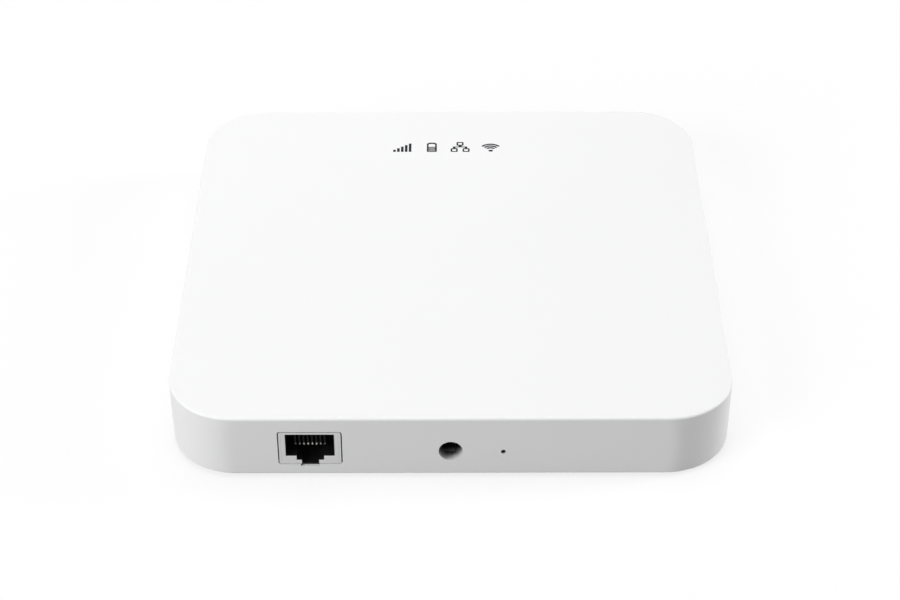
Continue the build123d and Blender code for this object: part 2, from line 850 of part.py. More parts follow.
# Power jack's moulded body: a round bore for the plug and a window under it for the leaf
with BuildPart() as power_jack_body:
    with BuildSketch(facing(power_front_y)) as jack_outline:
        with Locations((power_x, board_bottom_z)):
            Rectangle(
                power_body_width,
                power_z + power_body_above - board_bottom_z,
                align=(Align.CENTER, Align.MIN),
            )
        chamfer(jack_outline.vertices().group_by(Axis.Y)[-1], power_body_edge)
    extrude(amount=-power_body_length)
    with BuildSketch(facing(power_front_y)):
        with Locations((power_x, power_z)):
            Circle(power_bore_radius)
    extrude(amount=-power_bore_depth, mode=Mode.SUBTRACT)
    with BuildSketch(facing(power_front_y)):
        with Locations((power_x, power_z)):
            Circle(power_pin_radius + power_pin_fit)
    extrude(amount=-power_body_length, mode=Mode.SUBTRACT)
    with BuildSketch(level(board_bottom_z)):
        with Locations((power_x, leaf_end_y - leaf_end_margin)):
            Rectangle(
                leaf_width + 2 * leaf_gap,
                power_bore_end_y - leaf_end_y + leaf_end_margin,
                align=(Align.CENTER, Align.MIN),
            )
    extrude(amount=power_z - leaf_bump_drop - board_bottom_z, mode=Mode.SUBTRACT)

# Centre pin of the power jack, with its solder tab on the board
with BuildPart() as power_jack_pin:
    with BuildSketch(facing(power_front_y + power_pin_set_back)):
        with Locations((power_x, power_z)):
            Circle(power_pin_radius)
    extrude(amount=power_front_y + power_pin_set_back - power_back_y)
    fillet(power_jack_pin.faces().sort_by(Axis.Y)[0].edges(), power_pin_tip_radius)
    with BuildSketch(Plane.YZ.offset(power_x)):
        with Locations((power_back_y, board_top_z)):
            Rectangle(
                power_tab_thickness,
                power_z + power_pin_radius - board_top_z,
                align=(Align.MIN, Align.MIN),
            )
            Rectangle(power_tab_reach, power_tab_thickness, align=(Align.MIN, Align.MIN))
    extrude(amount=power_tab_width / 2, both=True)

# Sprung leaf under the bore: its bump bears on the plug's barrel
with BuildPart() as power_jack_spring:
    with BuildSketch(Plane.YZ.offset(power_x)):
        with BuildLine():
            FilletPolyline(
                (leaf_root_y, power_z - leaf_root_drop),
                (leaf_root_y - leaf_bump_reach, power_z - leaf_bump_drop),
                (leaf_end_y, power_z - leaf_end_drop),
                radius=leaf_bump_radius,
            )
        trace(line_width=leaf_thickness)
    extrude(amount=leaf_width / 2, both=True)

# Leaf's solder tab, under the jack and the board
with BuildPart() as power_jack_terminal:
    with BuildSketch(level(board_bottom_z)):
        with Locations((power_x, power_bore_end_y)):
            Rectangle(
                leaf_width,
                power_back_y + power_tab_reach - power_bore_end_y,
                align=(Align.CENTER, Align.MIN),
            )
    extrude(amount=-power_tab_thickness)

# Reset switch's body: a cup for the plunger's flange and the snap dome
with BuildPart() as reset_switch_body:
    with BuildSketch(facing(reset_body_y)):
        with Locations((reset_x, board_top_z)):
            Rectangle(reset_body_width, reset_body_height, align=(Align.CENTER, Align.MIN))
    extrude(amount=-reset_body_length)
    with BuildSketch(facing(reset_body_y)):
        with Locations((reset_x, reset_z)):
            Rectangle(reset_cup_width, reset_cup_height)
    extrude(amount=-reset_cup_depth, mode=Mode.SUBTRACT)

# Metal plate that keeps the plunger in the switch
with BuildPart() as reset_switch_cover:
    with BuildSketch(facing(reset_cover_y)):
        with Locations((reset_x, board_top_z)):
            Rectangle(reset_body_width, reset_body_height, align=(Align.CENTER, Align.MIN))
        with Locations((reset_x, reset_z)):
            Rectangle(
                reset_stem_width + 2 * reset_stem_gap,
                reset_stem_height + 2 * reset_stem_gap,
                mode=Mode.SUBTRACT,
            )
    extrude(amount=-reset_cover_sheet)

# Plunger: a stem behind the pinhole, the flange that the plate keeps in, and a nub on the dome
with BuildPart() as reset_plunger:
    with BuildSketch(facing(reset_tip_y)):
        with Locations((reset_x, reset_z)):
            RectangleRounded(reset_stem_width, reset_stem_height, reset_stem_edge)
    extrude(amount=reset_tip_y - reset_flange_y)
    with BuildSketch(facing(reset_flange_y)):
        with Locations((reset_x, reset_z)):
            Rectangle(reset_cup_width - 2 * reset_flange_gap, reset_cup_height - 2 * reset_flange_gap)
    extrude(amount=-reset_flange_thickness)
    with BuildSketch(facing(reset_nub_y)):
        with Locations((reset_x, reset_z)):
            Circle(reset_nub_radius)
    extrude(amount=-reset_nub_length)

# Snap dome, its rim on the floor of the cup and its crown behind the nub
with BuildPart() as reset_dome:
    with BuildSketch(Plane.XY.offset(reset_z)):
        with BuildLine():
            Polyline(
                (reset_x, reset_cup_end_y - dome_height),
                (reset_x + dome_crown_radius, reset_cup_end_y - dome_height),
                (reset_x + dome_radius, reset_cup_end_y),
                (reset_x + dome_radius - dome_rim, reset_cup_end_y),
                (reset_x + dome_crown_radius - dome_sheet, reset_cup_end_y - dome_height + dome_sheet),
                (reset_x, reset_cup_end_y - dome_height + dome_sheet),
                close=True,
            )
        make_face()
    revolve(axis=Axis((reset_x, 0, reset_z), (0, 1, 0)))

# Solder tabs beside the switch
with BuildPart() as reset_switch_terminals:
    with BuildSketch(level(board_top_z)):
        with Locations((reset_x, reset_body_y + reset_body_length / 2)):
            with GridLocations(
                reset_body_width + reset_tab_length,
                reset_body_length - reset_tab_width,
                2,
                2,
            ):
                Rectangle(reset_tab_length, reset_tab_width)
    extrude(amount=reset_tab_thickness)

# Lights under the four pictograms
with BuildPart() as status_leds:
    with BuildSketch(level(board_top_z)):
        with Locations(*status_places):
            Rectangle(led_length, led_width)
    extrude(amount=led_base)
    with BuildSketch(level(board_top_z + led_base)):
        with Locations(*status_places):
            Rectangle(led_lens_length, led_width)
    extrude(amount=led_lens_height)

# Wells that keep the four lights apart
with BuildPart() as light_baffle:
    with BuildSketch(level(board_top_z)):
        with Locations((light_left_x, status_y)):
            Rectangle(
                light_right_x - light_left_x,
                light_post + 2 * baffle_margin,
                align=(Align.MIN, Align.CENTER),
            )
        with Locations(*status_places):
            Rectangle(light_post, light_post, mode=Mode.SUBTRACT)
    extrude(amount=baffle_height)

# Clear light guide: a plate on the wells with a post up to each pictogram
with BuildPart() as light_guide:
    with BuildSketch(level(baffle_top_z)):
        with Locations((light_left_x, status_y)):
            Rectangle(
                light_right_x - light_left_x,
                light_post + 2 * baffle_margin,
                align=(Align.MIN, Align.CENTER),
            )
    extrude(amount=light_flange)
    with BuildSketch(level(baffle_top_z + light_flange)):
        with Locations(*status_places):
            RectangleRounded(light_post, light_post, light_post_corner)
    extrude(amount=top_z - light_skin - light_top_gap - baffle_top_z - light_flange)

# Processor: a carrier with a moulded cap
with BuildPart() as main_processor:
    with BuildSketch(level(board_top_z)):
        with Locations((processor_x, can_y)):
            Rectangle(processor_size, processor_size)
    extrude(amount=processor_base)
    with BuildSketch(level(board_top_z + processor_base)):
        with Locations((processor_x, can_y)):
            Rectangle(processor_cap_size, processor_cap_size)
    extrude(amount=processor_cap)
    chamfer(main_processor.faces().sort_by(Axis.Z)[-1].edges(), chip_edge)

# Soft pad from the processor up to the can
with BuildPart() as thermal_pad:
    with BuildSketch(level(board_top_z + processor_base + processor_cap)):
        with Locations((processor_x, can_y)):
            Rectangle(thermal_pad_size, thermal_pad_size)
    extrude(amount=can_height - can_sheet - processor_base - processor_cap)

# Memory beside the processor
with BuildPart() as memory_chip:
    with BuildSketch(level(board_top_z)):
        with Locations((memory_x, can_y)):
            Rectangle(memory_width, memory_depth)
    extrude(amount=memory_height)
    chamfer(memory_chip.faces().sort_by(Axis.Z)[-1].edges(), chip_edge)

# Perforated can over the processor and the memory
with BuildPart() as processor_shield:
    with BuildSketch(level(board_top_z)):
        with Locations((can_x, can_y)):
            RectangleRounded(can_width, can_depth, can_corner)
    extrude(amount=can_height)
    fillet(processor_shield.faces().sort_by(Axis.Z)[-1].edges(), can_edge)
    with BuildSketch(level(board_top_z)):
        with Locations((can_x, can_y)):
            RectangleRounded(
                can_width - 2 * can_sheet,
                can_depth - 2 * can_sheet,
                can_corner - can_sheet,
            )
    extrude(amount=can_height - can_sheet, mode=Mode.SUBTRACT)
    with Locations((can_x, can_y, board_top_z + can_height)):
        with GridLocations(can_hole_pitch, can_hole_pitch, can_hole_columns, can_hole_rows):
            Hole(can_hole_radius, depth=2 * can_sheet)

# Flash memory outside the can
with BuildPart() as flash_chip:
    with BuildSketch(level(board_top_z)):
        with Locations((flash_x, flash_y)):
            Rectangle(flash_width, flash_depth)
    extrude(amount=flash_height)
    chamfer(flash_chip.faces().sort_by(Axis.Z)[-1].edges(), chip_edge)

# Cellular module
with BuildPart() as cellular_module:
    with BuildSketch(level(board_top_z)):
        with Locations((cellular_x, cellular_y)):
            Rectangle(cellular_width, cellular_depth)
    extrude(amount=module_board)
    with BuildSketch(level(board_top_z + module_board)):
        with Locations((cellular_x, cellular_y)):
            RectangleRounded(
                cellular_width - 2 * lid_margin,
                cellular_depth - 2 * lid_margin,
                lid_corner,
            )
    extrude(amount=cellular_lid)
    fillet(cellular_module.faces().sort_by(Axis.Z)[-1].edges(), lid_edge)

# Wireless network module, its printed antenna bare at the back
with BuildPart() as wifi_module:
    with BuildSketch(level(board_top_z)):
        with Locations((wifi_x, can_y)):
            Rectangle(wifi_width, wifi_depth)
    extrude(amount=module_board)
    with BuildSketch(level(board_top_z + module_board)):
        with Locations((wifi_x, can_y - wifi_depth / 2 + lid_margin + wifi_lid_depth / 2)):
            RectangleRounded(wifi_width - 2 * lid_margin, wifi_lid_depth, lid_corner)
    extrude(amount=wifi_lid)
    fillet(wifi_module.faces().sort_by(Axis.Z)[-1].edges(), lid_edge)

# Radio module for the alarm's sensors
with BuildPart() as mesh_radio_module:
    with BuildSketch(level(board_top_z)):
        with Locations((mesh_x, mesh_y)):
            Rectangle(mesh_width, mesh_depth)
    extrude(amount=module_board)
    with BuildSketch(level(board_top_z + module_board)):
        with Locations((mesh_x, mesh_y - mesh_depth / 2 + lid_margin + mesh_lid_depth / 2)):
            RectangleRounded(mesh_width - 2 * lid_margin, mesh_lid_depth, lid_corner)
    extrude(amount=mesh_lid)
    fillet(mesh_radio_module.faces().sort_by(Axis.Z)[-1].edges(), lid_edge)

# Flexible antenna stuck to the left wall
with BuildPart() as cellular_antenna:
    with BuildSketch(Plane.YZ.offset(-cavity_width / 2)):
        with Locations((flex_y, board_top_z + flex_lift + flex_height / 2)):
            RectangleRounded(flex_length, flex_height, flex_corner)
    extrude(amount=flex_sheet)

# Thin cable from the flexible antenna to the cellular module
with BuildPart() as antenna_cable:
    with BuildLine(level(coax_z)):
        FilletPolyline(
            (coax_x, coax_start_y),
            (coax_x, coax_turn_y),
            (coax_x + coax_lead_in, coax_plug_y),
            (coax_plug_x - coax_sleeve_length, coax_plug_y),
            radius=coax_bend,
        )
    with BuildSketch(Plane(origin=(coax_x, coax_start_y, coax_z), z_dir=(0, 1, 0))):
        Circle(coax_radius)
    sweep()

# Push-on plug of that cable
with BuildPart() as antenna_plug:
    with BuildSketch(level(cellular_top_z)):
        with Locations((coax_plug_x, coax_plug_y)):
            Circle(coax_plug_radius)
            Rectangle(coax_sleeve_length, coax_sleeve_width, align=(Align.MAX, Align.CENTER))
    extrude(amount=coax_plug_height)

# Stamped antenna on the board: a bar on a ground leg and a feed leg
with BuildPart() as wifi_antenna:
    with BuildSketch(facing(inverted_f_y)):
        with Locations((inverted_f_x, board_top_z + inverted_f_height)):
            Rectangle(inverted_f_length, inverted_f_bar, align=(Align.MIN, Align.MAX))
            Rectangle(inverted_f_leg, inverted_f_height, align=(Align.MIN, Align.MAX))
        with Locations((inverted_f_x + inverted_f_feed, board_top_z)):
            Rectangle(inverted_f_leg, inverted_f_height, align=(Align.MIN, Align.MIN))
    extrude(amount=-inverted_f_sheet)

# Power inductors
with BuildPart() as power_inductors:
    with BuildSketch(level(board_top_z)):
        with Locations((inductor_x, inductor_y)):
            with GridLocations(inductor_pitch, 0, inductor_count, 1):
                RectangleRounded(inductor_size, inductor_size, inductor_corner)
    extrude(amount=inductor_height)
    chamfer(power_inductors.faces().group_by(Axis.Z)[-1].edges(), inductor_edge)

# Power capacitors: cans on bases with two cut corners
with BuildPart() as power_capacitors:
    with BuildSketch(level(board_top_z)) as capacitor_feet:
        with Locations((capacitor_x, capacitor_y)):
            with GridLocations(capacitor_pitch, 0, capacitor_count, 1):
                Rectangle(capacitor_base, capacitor_base)
        chamfer(capacitor_feet.vertices().group_by(Axis.Y)[-1], capacitor_base_cut)
    extrude(amount=capacitor_base_height)
    with BuildSketch(level(board_top_z + capacitor_base_height)):
        with Locations((capacitor_x, capacitor_y)):
            with GridLocations(capacitor_pitch, 0, capacitor_count, 1):
                Circle(capacitor_radius)
    extrude(amount=capacitor_height)
    chamfer(power_capacitors.faces().group_by(Axis.Z)[-1].edges(), capacitor_edge)

# Foam pad that sticks the battery into its tray
with BuildPart() as battery_pad:
    with BuildSketch(level(base_top_z)):
        with Locations((battery_x, battery_y)):
            Rectangle(battery_width - 2 * battery_pad_margin, battery_length - 2 * battery_pad_margin)
    extrude(amount=battery_pad_thickness)

# Backup cell: a soft-edged pouch with the flat lip that carries its guard board
with BuildPart() as battery_cell:
    with BuildSketch(level(battery_bottom_z)):
        with Locations((battery_x, battery_y)):
            RectangleRounded(battery_width, battery_length, battery_corner)
    extrude(amount=battery_thickness)
    fillet(battery_cell.faces().filter_by(Axis.Z).edges(), battery_edge)
    with BuildSketch(level(lip_bottom_z)):
        with Locations((battery_x, battery_back_y - battery_corner)):
            Rectangle(
                battery_width - 2 * battery_lip_margin,
                battery_lip + battery_corner,
                align=(Align.CENTER, Align.MIN),
            )
    extrude(amount=battery_lip_thickness)

# Guard board on the pouch's lip
with BuildPart() as battery_protection_board:
    with BuildSketch(level(guard_bottom_z)):
        with Locations((battery_x, lip_middle_y)):
            Rectangle(guard_width, guard_depth)
    extrude(amount=guard_thickness)

# Pair of wires from the guard board to the plug
battery_wire_z = guard_top_z + battery_wire_radius + battery_wire_gap
battery_wire_run = (battery_plug_front_y - lip_middle_y) / battery_wire_run_count
with BuildPart() as battery_lead:
    for side in (-1, 1):
        with BuildLine(Plane.YZ.offset(battery_wire_x + side * battery_wire_pitch / 2)):
            FilletPolyline(
                (lip_middle_y, battery_wire_z),
                (lip_middle_y + battery_wire_run, battery_wire_z),
                (battery_plug_front_y - battery_wire_run, battery_plug_z),
                (battery_plug_front_y, battery_plug_z),
                radius=battery_wire_bend,
            )
        with BuildSketch(facing(lip_middle_y)):
            with Locations((battery_wire_x + side * battery_wire_pitch / 2, battery_wire_z)):
                Circle(battery_wire_radius)
        sweep()

# Shrouded socket on the board for the battery's plug
socket_inside_width = battery_socket_width - 2 * battery_socket_wall
socket_inside_height = battery_socket_height - 2 * battery_socket_wall
socket_inside_depth = battery_socket_depth - battery_socket_wall
with BuildPart() as battery_socket:
    with BuildSketch(facing(battery_socket_front_y)):
        with Locations((battery_wire_x, battery_plug_z)):
            Rectangle(battery_socket_width, battery_socket_height)
    extrude(amount=-battery_socket_depth)
    with BuildSketch(facing(battery_socket_front_y)):
        with Locations((battery_wire_x, battery_plug_z)):
            Rectangle(socket_inside_width, socket_inside_height)
    extrude(amount=-socket_inside_depth, mode=Mode.SUBTRACT)

# Battery's plug, pushed into its socket
with BuildPart() as battery_plug:
    with BuildSketch(facing(battery_plug_front_y)):
        with Locations((battery_wire_x, battery_plug_z)):
            Rectangle(
                socket_inside_width - 2 * battery_plug_gap,
                socket_inside_height - 2 * battery_plug_gap,
            )
    extrude(amount=battery_plug_gap - battery_plug_out - socket_inside_depth)

pieces = {
    "top_shell": top_shell,
    "base_plate": base_plate,
    "rubber_feet": rubber_feet,
    "base_screws": base_screws,
    "main_board": main_board,
    "board_screws": board_screws,
    "ethernet_shield": ethernet_shield,
    "ethernet_insert": ethernet_insert,
    "ethernet_leads": ethernet_leads,
    "ethernet_contacts": ethernet_contacts,
    "ethernet_transformer": ethernet_transformer,
    "power_jack_body": power_jack_body,
    "power_jack_pin": power_jack_pin,
    "power_jack_spring": power_jack_spring,
    "power_jack_terminal": power_jack_terminal,
    "reset_switch_body": reset_switch_body,
    "reset_switch_cover": reset_switch_cover,
    "reset_plunger": reset_plunger,
    "reset_dome": reset_dome,
    "reset_switch_terminals": reset_switch_terminals,
    "status_leds": status_leds,
    "light_baffle": light_baffle,
    "light_guide": light_guide,
    "main_processor": main_processor,
    "thermal_pad": thermal_pad,
    "memory_chip": memory_chip,
    "processor_shield": processor_shield,
    "flash_chip": flash_chip,
    "cellular_module": cellular_module,
    "wifi_module": wifi_module,
    "mesh_radio_module": mesh_radio_module,
    "cellular_antenna": cellular_antenna,
    "antenna_cable": antenna_cable,
    "antenna_plug": antenna_plug,
    "wifi_antenna": wifi_antenna,
    "power_inductors": power_inductors,
    "power_capacitors": power_capacitors,
    "battery_pad": battery_pad,
    "battery_cell": battery_cell,
    "battery_protection_board": battery_protection_board,
    "battery_lead": battery_lead,
    "battery_socket": battery_socket,
    "battery_plug": battery_plug,
}
for name, piece in pieces.items():
    piece.part.label = name
    export_step(piece.part, f"parts/{name}.step")
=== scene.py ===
import math

import bmesh
import bpy
import numpy as np
from mathutils import Matrix, Vector


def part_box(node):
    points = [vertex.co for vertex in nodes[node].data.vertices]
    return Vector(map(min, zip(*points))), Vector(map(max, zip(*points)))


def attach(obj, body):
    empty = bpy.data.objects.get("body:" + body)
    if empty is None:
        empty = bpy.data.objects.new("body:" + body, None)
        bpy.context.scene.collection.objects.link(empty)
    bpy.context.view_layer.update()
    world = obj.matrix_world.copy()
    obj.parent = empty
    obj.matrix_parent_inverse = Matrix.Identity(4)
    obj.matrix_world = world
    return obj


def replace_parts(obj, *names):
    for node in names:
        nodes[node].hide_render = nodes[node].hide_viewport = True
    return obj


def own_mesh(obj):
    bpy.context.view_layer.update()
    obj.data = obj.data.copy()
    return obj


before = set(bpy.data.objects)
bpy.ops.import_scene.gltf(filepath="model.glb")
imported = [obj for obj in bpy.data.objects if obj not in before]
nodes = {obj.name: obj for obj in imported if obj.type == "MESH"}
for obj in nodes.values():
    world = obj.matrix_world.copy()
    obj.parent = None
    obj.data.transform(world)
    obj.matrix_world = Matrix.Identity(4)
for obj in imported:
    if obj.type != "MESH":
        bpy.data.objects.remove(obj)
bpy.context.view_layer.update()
mm = 0.001
print("frame loaded with", len(nodes), "nodes")


class Flow:
    # one output of a node; sums made with it add Math nodes to its tree
    def __init__(self, recipe, socket):
        self.recipe = recipe
        self.socket = socket

    def maths(self, operation, *terms):
        return self.recipe.add("ShaderNodeMath", {"operation": operation}, dict(enumerate(terms)))["Value"]

    def __add__(self, other):
        return self.maths("ADD", self, other)

    def __radd__(self, other):
        return self.maths("ADD", other, self)

    def __sub__(self, other):
        return self.maths("SUBTRACT", self, other)

    def __rsub__(self, other):
        return self.maths("SUBTRACT", other, self)

    def __mul__(self, other):
        return self.maths("MULTIPLY", self, other)

    def __rmul__(self, other):
        return self.maths("MULTIPLY", other, self)

    def __truediv__(self, other):
        return self.maths("DIVIDE", self, other)

    def __rtruediv__(self, other):
        return self.maths("DIVIDE", other, self)

    def __mod__(self, other):
        return self.maths("FLOORED_MODULO", self, other)

    def __rmod__(self, other):
        return self.maths("FLOORED_MODULO", other, self)

    def clipped(self):
        # kept between nought and one
        return self.maths("MINIMUM", self.maths("MAXIMUM", self, 0.0), 1.0)

    def __gt__(self, other):
        return self.maths("GREATER_THAN", self, other)

    def __lt__(self, other):
        return self.maths("LESS_THAN", self, other)


def pick(sockets, key):
    # a socket by its place, its identifier or its name
    if isinstance(key, int):
        return sockets[key]
    for socket in sockets:
        if socket.identifier == key:
            return socket
    return sockets[key]


class Recipe:
    # a node tree that is being written
    def __init__(self, tree):
        self.tree = tree

    def feed(self, socket, value):
        # a list feeds a socket that takes several links
        flows = value if isinstance(value, list) else [value]
        if isinstance(flows[0], Flow):
            for flow in flows:
                self.tree.links.new(flow.socket, socket)
        else:
            socket.default_value = value

    def add(self, kind, settings=None, feeds=None):
        node = self.tree.nodes.new(kind)
        for key, value in (settings or {}).items():
            setattr(node, key, value)
        for key, value in (feeds or {}).items():
            self.feed(pick(node.inputs, key), value)
        made = {socket.name: Flow(self, socket) for socket in reversed(node.outputs)}
        made.update({socket.identifier: Flow(self, socket) for socket in node.outputs})
        return made


class Finish(Recipe):
    # a surface: a principled shader fed by patterns in the part's own millimetres
    def __init__(self, name):
        self.material = bpy.data.materials.new(name)
        self.material.use_nodes = True
        super().__init__(self.material.node_tree)
        self.tree.nodes.clear()
        self.place = self.add("ShaderNodeTexCoord")["Object"]

    def axis(self, name):
        return self.add("ShaderNodeSeparateXYZ", None, {"Vector": self.place})[name]

    def noise(self, grain, detail=2.0, stretch=(1, 1, 1)):
        # grain is the size of one spot in millimetres
        turned = self.add("ShaderNodeMapping", None, {"Vector": self.place, "Scale": stretch})["Vector"]
        feeds = {"Vector": turned, "Scale": 1 / (grain * mm), "Detail": detail}
        return self.add("ShaderNodeTexNoise", None, feeds)["Fac"]

    def cells(self, grain, feature="F1"):
        feeds = {"Vector": self.place, "Scale": 1 / (grain * mm)}
        return self.add("ShaderNodeTexVoronoi", {"feature": feature}, feeds)["Distance"]

    def tint(self, share, first, second):
        feeds = {"Factor_Float": share, "A_Color": paint(first), "B_Color": paint(second)}
        return self.add("ShaderNodeMix", {"data_type": "RGBA"}, feeds)["Result_Color"]

    def bump(self, height, depth):
        # depth is the relief in millimetres
        return self.add("ShaderNodeBump", None, {"Height": height, "Distance": depth * mm})["Normal"]

    def done(self, feeds):
        shader = self.add("ShaderNodeBsdfPrincipled", None, feeds)["BSDF"]
        self.add("ShaderNodeOutputMaterial", None, {"Surface": shader})
        return self.material


def paint(colour):
    return colour if isinstance(colour, Flow) else (*colour, 1.0)


plasticSetup = {
    "detail": 3.0,    # octaves of the grain
    "drift": 45.0,    # mm over which the tone changes
    "uneven": 0.12,   # how far the grain moves the roughness
}


def moulded(name, light, dark, grain, roughness, relief):
    # moulded plastic: spark-eroded grain, and a slow drift of tone over the piece
    finish = Finish(name)
    spots = finish.noise(grain, plasticSetup["detail"])
    drift = finish.noise(plasticSetup["drift"])
    return finish.done({
        "Base Color": finish.tint(drift, dark, light),
        "Roughness": roughness + plasticSetup["uneven"] * (spots - 0.5),
        "Normal": finish.bump(spots, relief),
    })


def nearAxis(finish, setup):
    # one round a hole's axis, in the front half of the hub
    across = finish.axis("X") - setup["x"] * mm
    up = finish.axis("Z") - setup["z"] * mm
    near = (across * across + up * up) < (setup["reach"] * mm) ** 2
    return near * (finish.axis("Y") < 0.0)


def wayIn(finish, setup):
    # from nought to one along a hole
    start = setup["from"] * mm
    return ((finish.axis("Y") - start) / (setup["to"] * mm - start)).clipped()


def shellPlastic(name, setup):
    # satin white, with painted shade inside the round holes: greyer deeper in
    finish = Finish(name)
    spots = finish.noise(setup["grain"], plasticSetup["detail"])
    colour = finish.tint(finish.noise(plasticSetup["drift"]), setup["dark"], setup["light"])
    for hole in setup["shadedHoles"]:
        colour = finish.tint(nearAxis(finish, hole) * wayIn(finish, hole), colour, hole["grey"])
    return finish.done({
        "Base Color": colour,
        "Roughness": setup["roughness"] + plasticSetup["uneven"] * (spots - 0.5),
        "Normal": finish.bump(spots, setup["relief"]),
    })


def boreLitAtMouth(name, setup):
    # black jack bore with painted light and shade: grey near the mouth, black deeper in
    finish = Finish(name)
    spots = finish.noise(setup["grain"], plasticSetup["detail"])
    litMouth = nearAxis(finish, setup) * (1 - wayIn(finish, setup))
    return finish.done({
        "Base Color": finish.tint(litMouth, setup["black"], setup["grey"]),
        "Roughness": setup["roughness"] + plasticSetup["uneven"] * (spots - 0.5),
        "Specular IOR Level": setup["sheen"],
        "Normal": finish.bump(spots, setup["relief"]),
    })


platingSetup = {
    "detail": 3.0,
    "stain": 6.0,      # mm across a stain
    "uneven": 0.16,
    "relief": 0.004,   # mm, depth of the brushing
}


def plated(name, light, dark, roughness, brushing=(1, 1, 1), grain=0.5):
    # plated metal with fine brushing along its longest stretch
    finish = Finish(name)
    lines = finish.noise(grain, platingSetup["detail"], brushing)
    stain = finish.noise(platingSetup["stain"], platingSetup["detail"])
    return finish.done({
        "Base Color": finish.tint(stain, dark, light),
        "Metallic": 1.0,
        "Roughness": roughness + platingSetup["uneven"] * (lines - 0.5),
        "Normal": finish.bump(lines, platingSetup["relief"]),
    })


rubberSetup = {
    "dust": 3.0,         # mm across a dusty patch
    "detail": 4.0,
    "roughness": 0.78,
    "duller": 0.14,      # added to the roughness by dust
    "sheen": 0.3,
}


def rubbery(name, light, dark, grain, relief):
    # soft pieces: dull, with a fine pitted skin
    finish = Finish(name)
    pits = finish.cells(grain)
    dust = finish.noise(rubberSetup["dust"], rubberSetup["detail"])
    return finish.done({
        "Base Color": finish.tint(dust, dark, light),
        "Roughness": rubberSetup["roughness"] + rubberSetup["duller"] * dust,
        "Specular IOR Level": rubberSetup["sheen"],
        "Normal": finish.bump(pits, relief),
    })


boardSetup = {
    "patch": 9.0,     # mm across a bundle of tracks
    "pitch": 0.9,     # from track to track
    "track": 0.42,
    "bare": 0.3,      # share of the patches without tracks
    "viaPitch": 3.4,
    "via": 0.09,      # share of that pitch
    "weave": 0.8,     # mm across a thread of the glass
    "threads": 0.2,   # height of a thread over that of a track
    "relief": 0.02,
    "roughness": 0.32,
    "uneven": 0.1,
    "lacquer": 0.3,
    "resist": (0.010, 0.115, 0.052),
    "overTrack": (0.018, 0.165, 0.074),
    "tin": (0.46, 0.45, 0.40),
}


def resist(name, setup):
    # circuit board: green resist over bundles of copper tracks, with tinned vias
    finish = Finish(name)
    weave = finish.noise(setup["weave"])
    bundle = finish.add("ShaderNodeTexVoronoi", {"distance": "CHEBYCHEV"}, {
        "Vector": finish.place,
        "Scale": 1 / (setup["patch"] * mm),
    })["Color"]
    chance = finish.add("ShaderNodeSeparateColor", None, {"Color": bundle})
    across = chance["Red"] > 0.5
    place = across * finish.axis("X") + (1 - across) * finish.axis("Y")
    tracks = (place % (setup["pitch"] * mm) < setup["track"] * mm) * (chance["Green"] > setup["bare"])
    vias = finish.cells(setup["viaPitch"]) < setup["via"]
    resisted = finish.tint(tracks, setup["resist"], setup["overTrack"])
    return finish.done({
        "Base Color": finish.tint(vias, resisted, setup["tin"]),
        "Roughness": setup["roughness"] + setup["uneven"] * weave,
        "Coat Weight": setup["lacquer"],
        "Normal": finish.bump(tracks + setup["threads"] * weave, setup["relief"]),
    })


twoStuffSetup = {
    "grit": 0.6,         # mm across a spot
    "detail": 3.0,
    "darker": 0.82,      # tone of the darkest spots
    "roughness": 0.42,
    "uneven": 0.12,
    "relief": 0.005,
}


def onBoard(name, level, below, above, metal):
    # a part in two stuffs: a carrier up to a level in millimetres and its lid, lens or can above
    finish = Finish(name)
    upper = finish.axis("Z") > level * mm
    grit = finish.noise(twoStuffSetup["grit"], twoStuffSetup["detail"])
    spotted = finish.tint(grit, above, [twoStuffSetup["darker"] * c for c in above])
    return finish.done({
        "Base Color": finish.tint(upper, below, spotted),
        "Metallic": upper * metal,
        "Roughness": twoStuffSetup["roughness"] + twoStuffSetup["uneven"] * (grit - 0.5),
        "Normal": finish.bump(grit, twoStuffSetup["relief"]),
    })


wireSetup = {
    "tip": 1.0,                  # mm of bright plating
    "bright": (0.92, 0.91, 0.88),
    # near-black above the tip: painted shade
    "shadedAbove": (0.014, 0.014, 0.014),
    "grain": 0.2,
    "drawn": (1, 1, 0.1),        # the way the wire was drawn
    "roughness": 0.62,
    "smoother": 0.34,            # taken off the roughness at the tip
    "uneven": 0.1,
    "relief": 0.003,
}


def tippedWire(name, level, setup):
    # spring wire: bright plating on the tip that meets the plug; above it the nickel is painted near-black
    # as painted shade
    finish = Finish(name)
    tip = finish.axis("Z") < level * mm
    drawn = finish.noise(setup["grain"], stretch=setup["drawn"])
    return finish.done({
        "Base Color": finish.tint(tip, setup["shadedAbove"], setup["bright"]),
        "Metallic": 1.0,
        "Roughness": setup["roughness"] - setup["smoother"] * tip + setup["uneven"] * (drawn - 0.5),
        "Normal": finish.bump(drawn, setup["relief"]),
    })


leadSetup = {
    "left": (0.42, 0.015, 0.012),
    "right": (0.018, 0.018, 0.018),
    "gloss": 1.0,    # mm across a duller spot
    "roughness": 0.38,
    "uneven": 0.1,
}


def pairOfWires(name, middle, setup):
    # red and black insulation, told apart by the side of the pair's middle
    finish = Finish(name)
    side = finish.axis("X") > middle
    gloss = finish.noise(setup["gloss"])
    return finish.done({
        "Base Color": finish.tint(side, setup["left"], setup["right"]),
        "Roughness": setup["roughness"] + setup["uneven"] * gloss,
    })


guideSetup = {
    "flow": 4.0,    # mm across a streak
    "dark": (0.86, 0.88, 0.89),
    "light": (0.93, 0.95, 0.96),
    "roughness": 0.08,
    "bending": 1.49,
    "clear": 0.9,
}


def clearGuide(name, setup):
    # clear plastic with a little flow in it
    finish = Finish(name)
    flow = finish.noise(setup["flow"])
    return finish.done({
        "Base Color": finish.tint(flow, setup["dark"], setup["light"]),
        "Roughness": setup["roughness"] + setup["roughness"] * flow,
        "IOR": setup["bending"],
        "Transmission Weight": setup["clear"],
    })


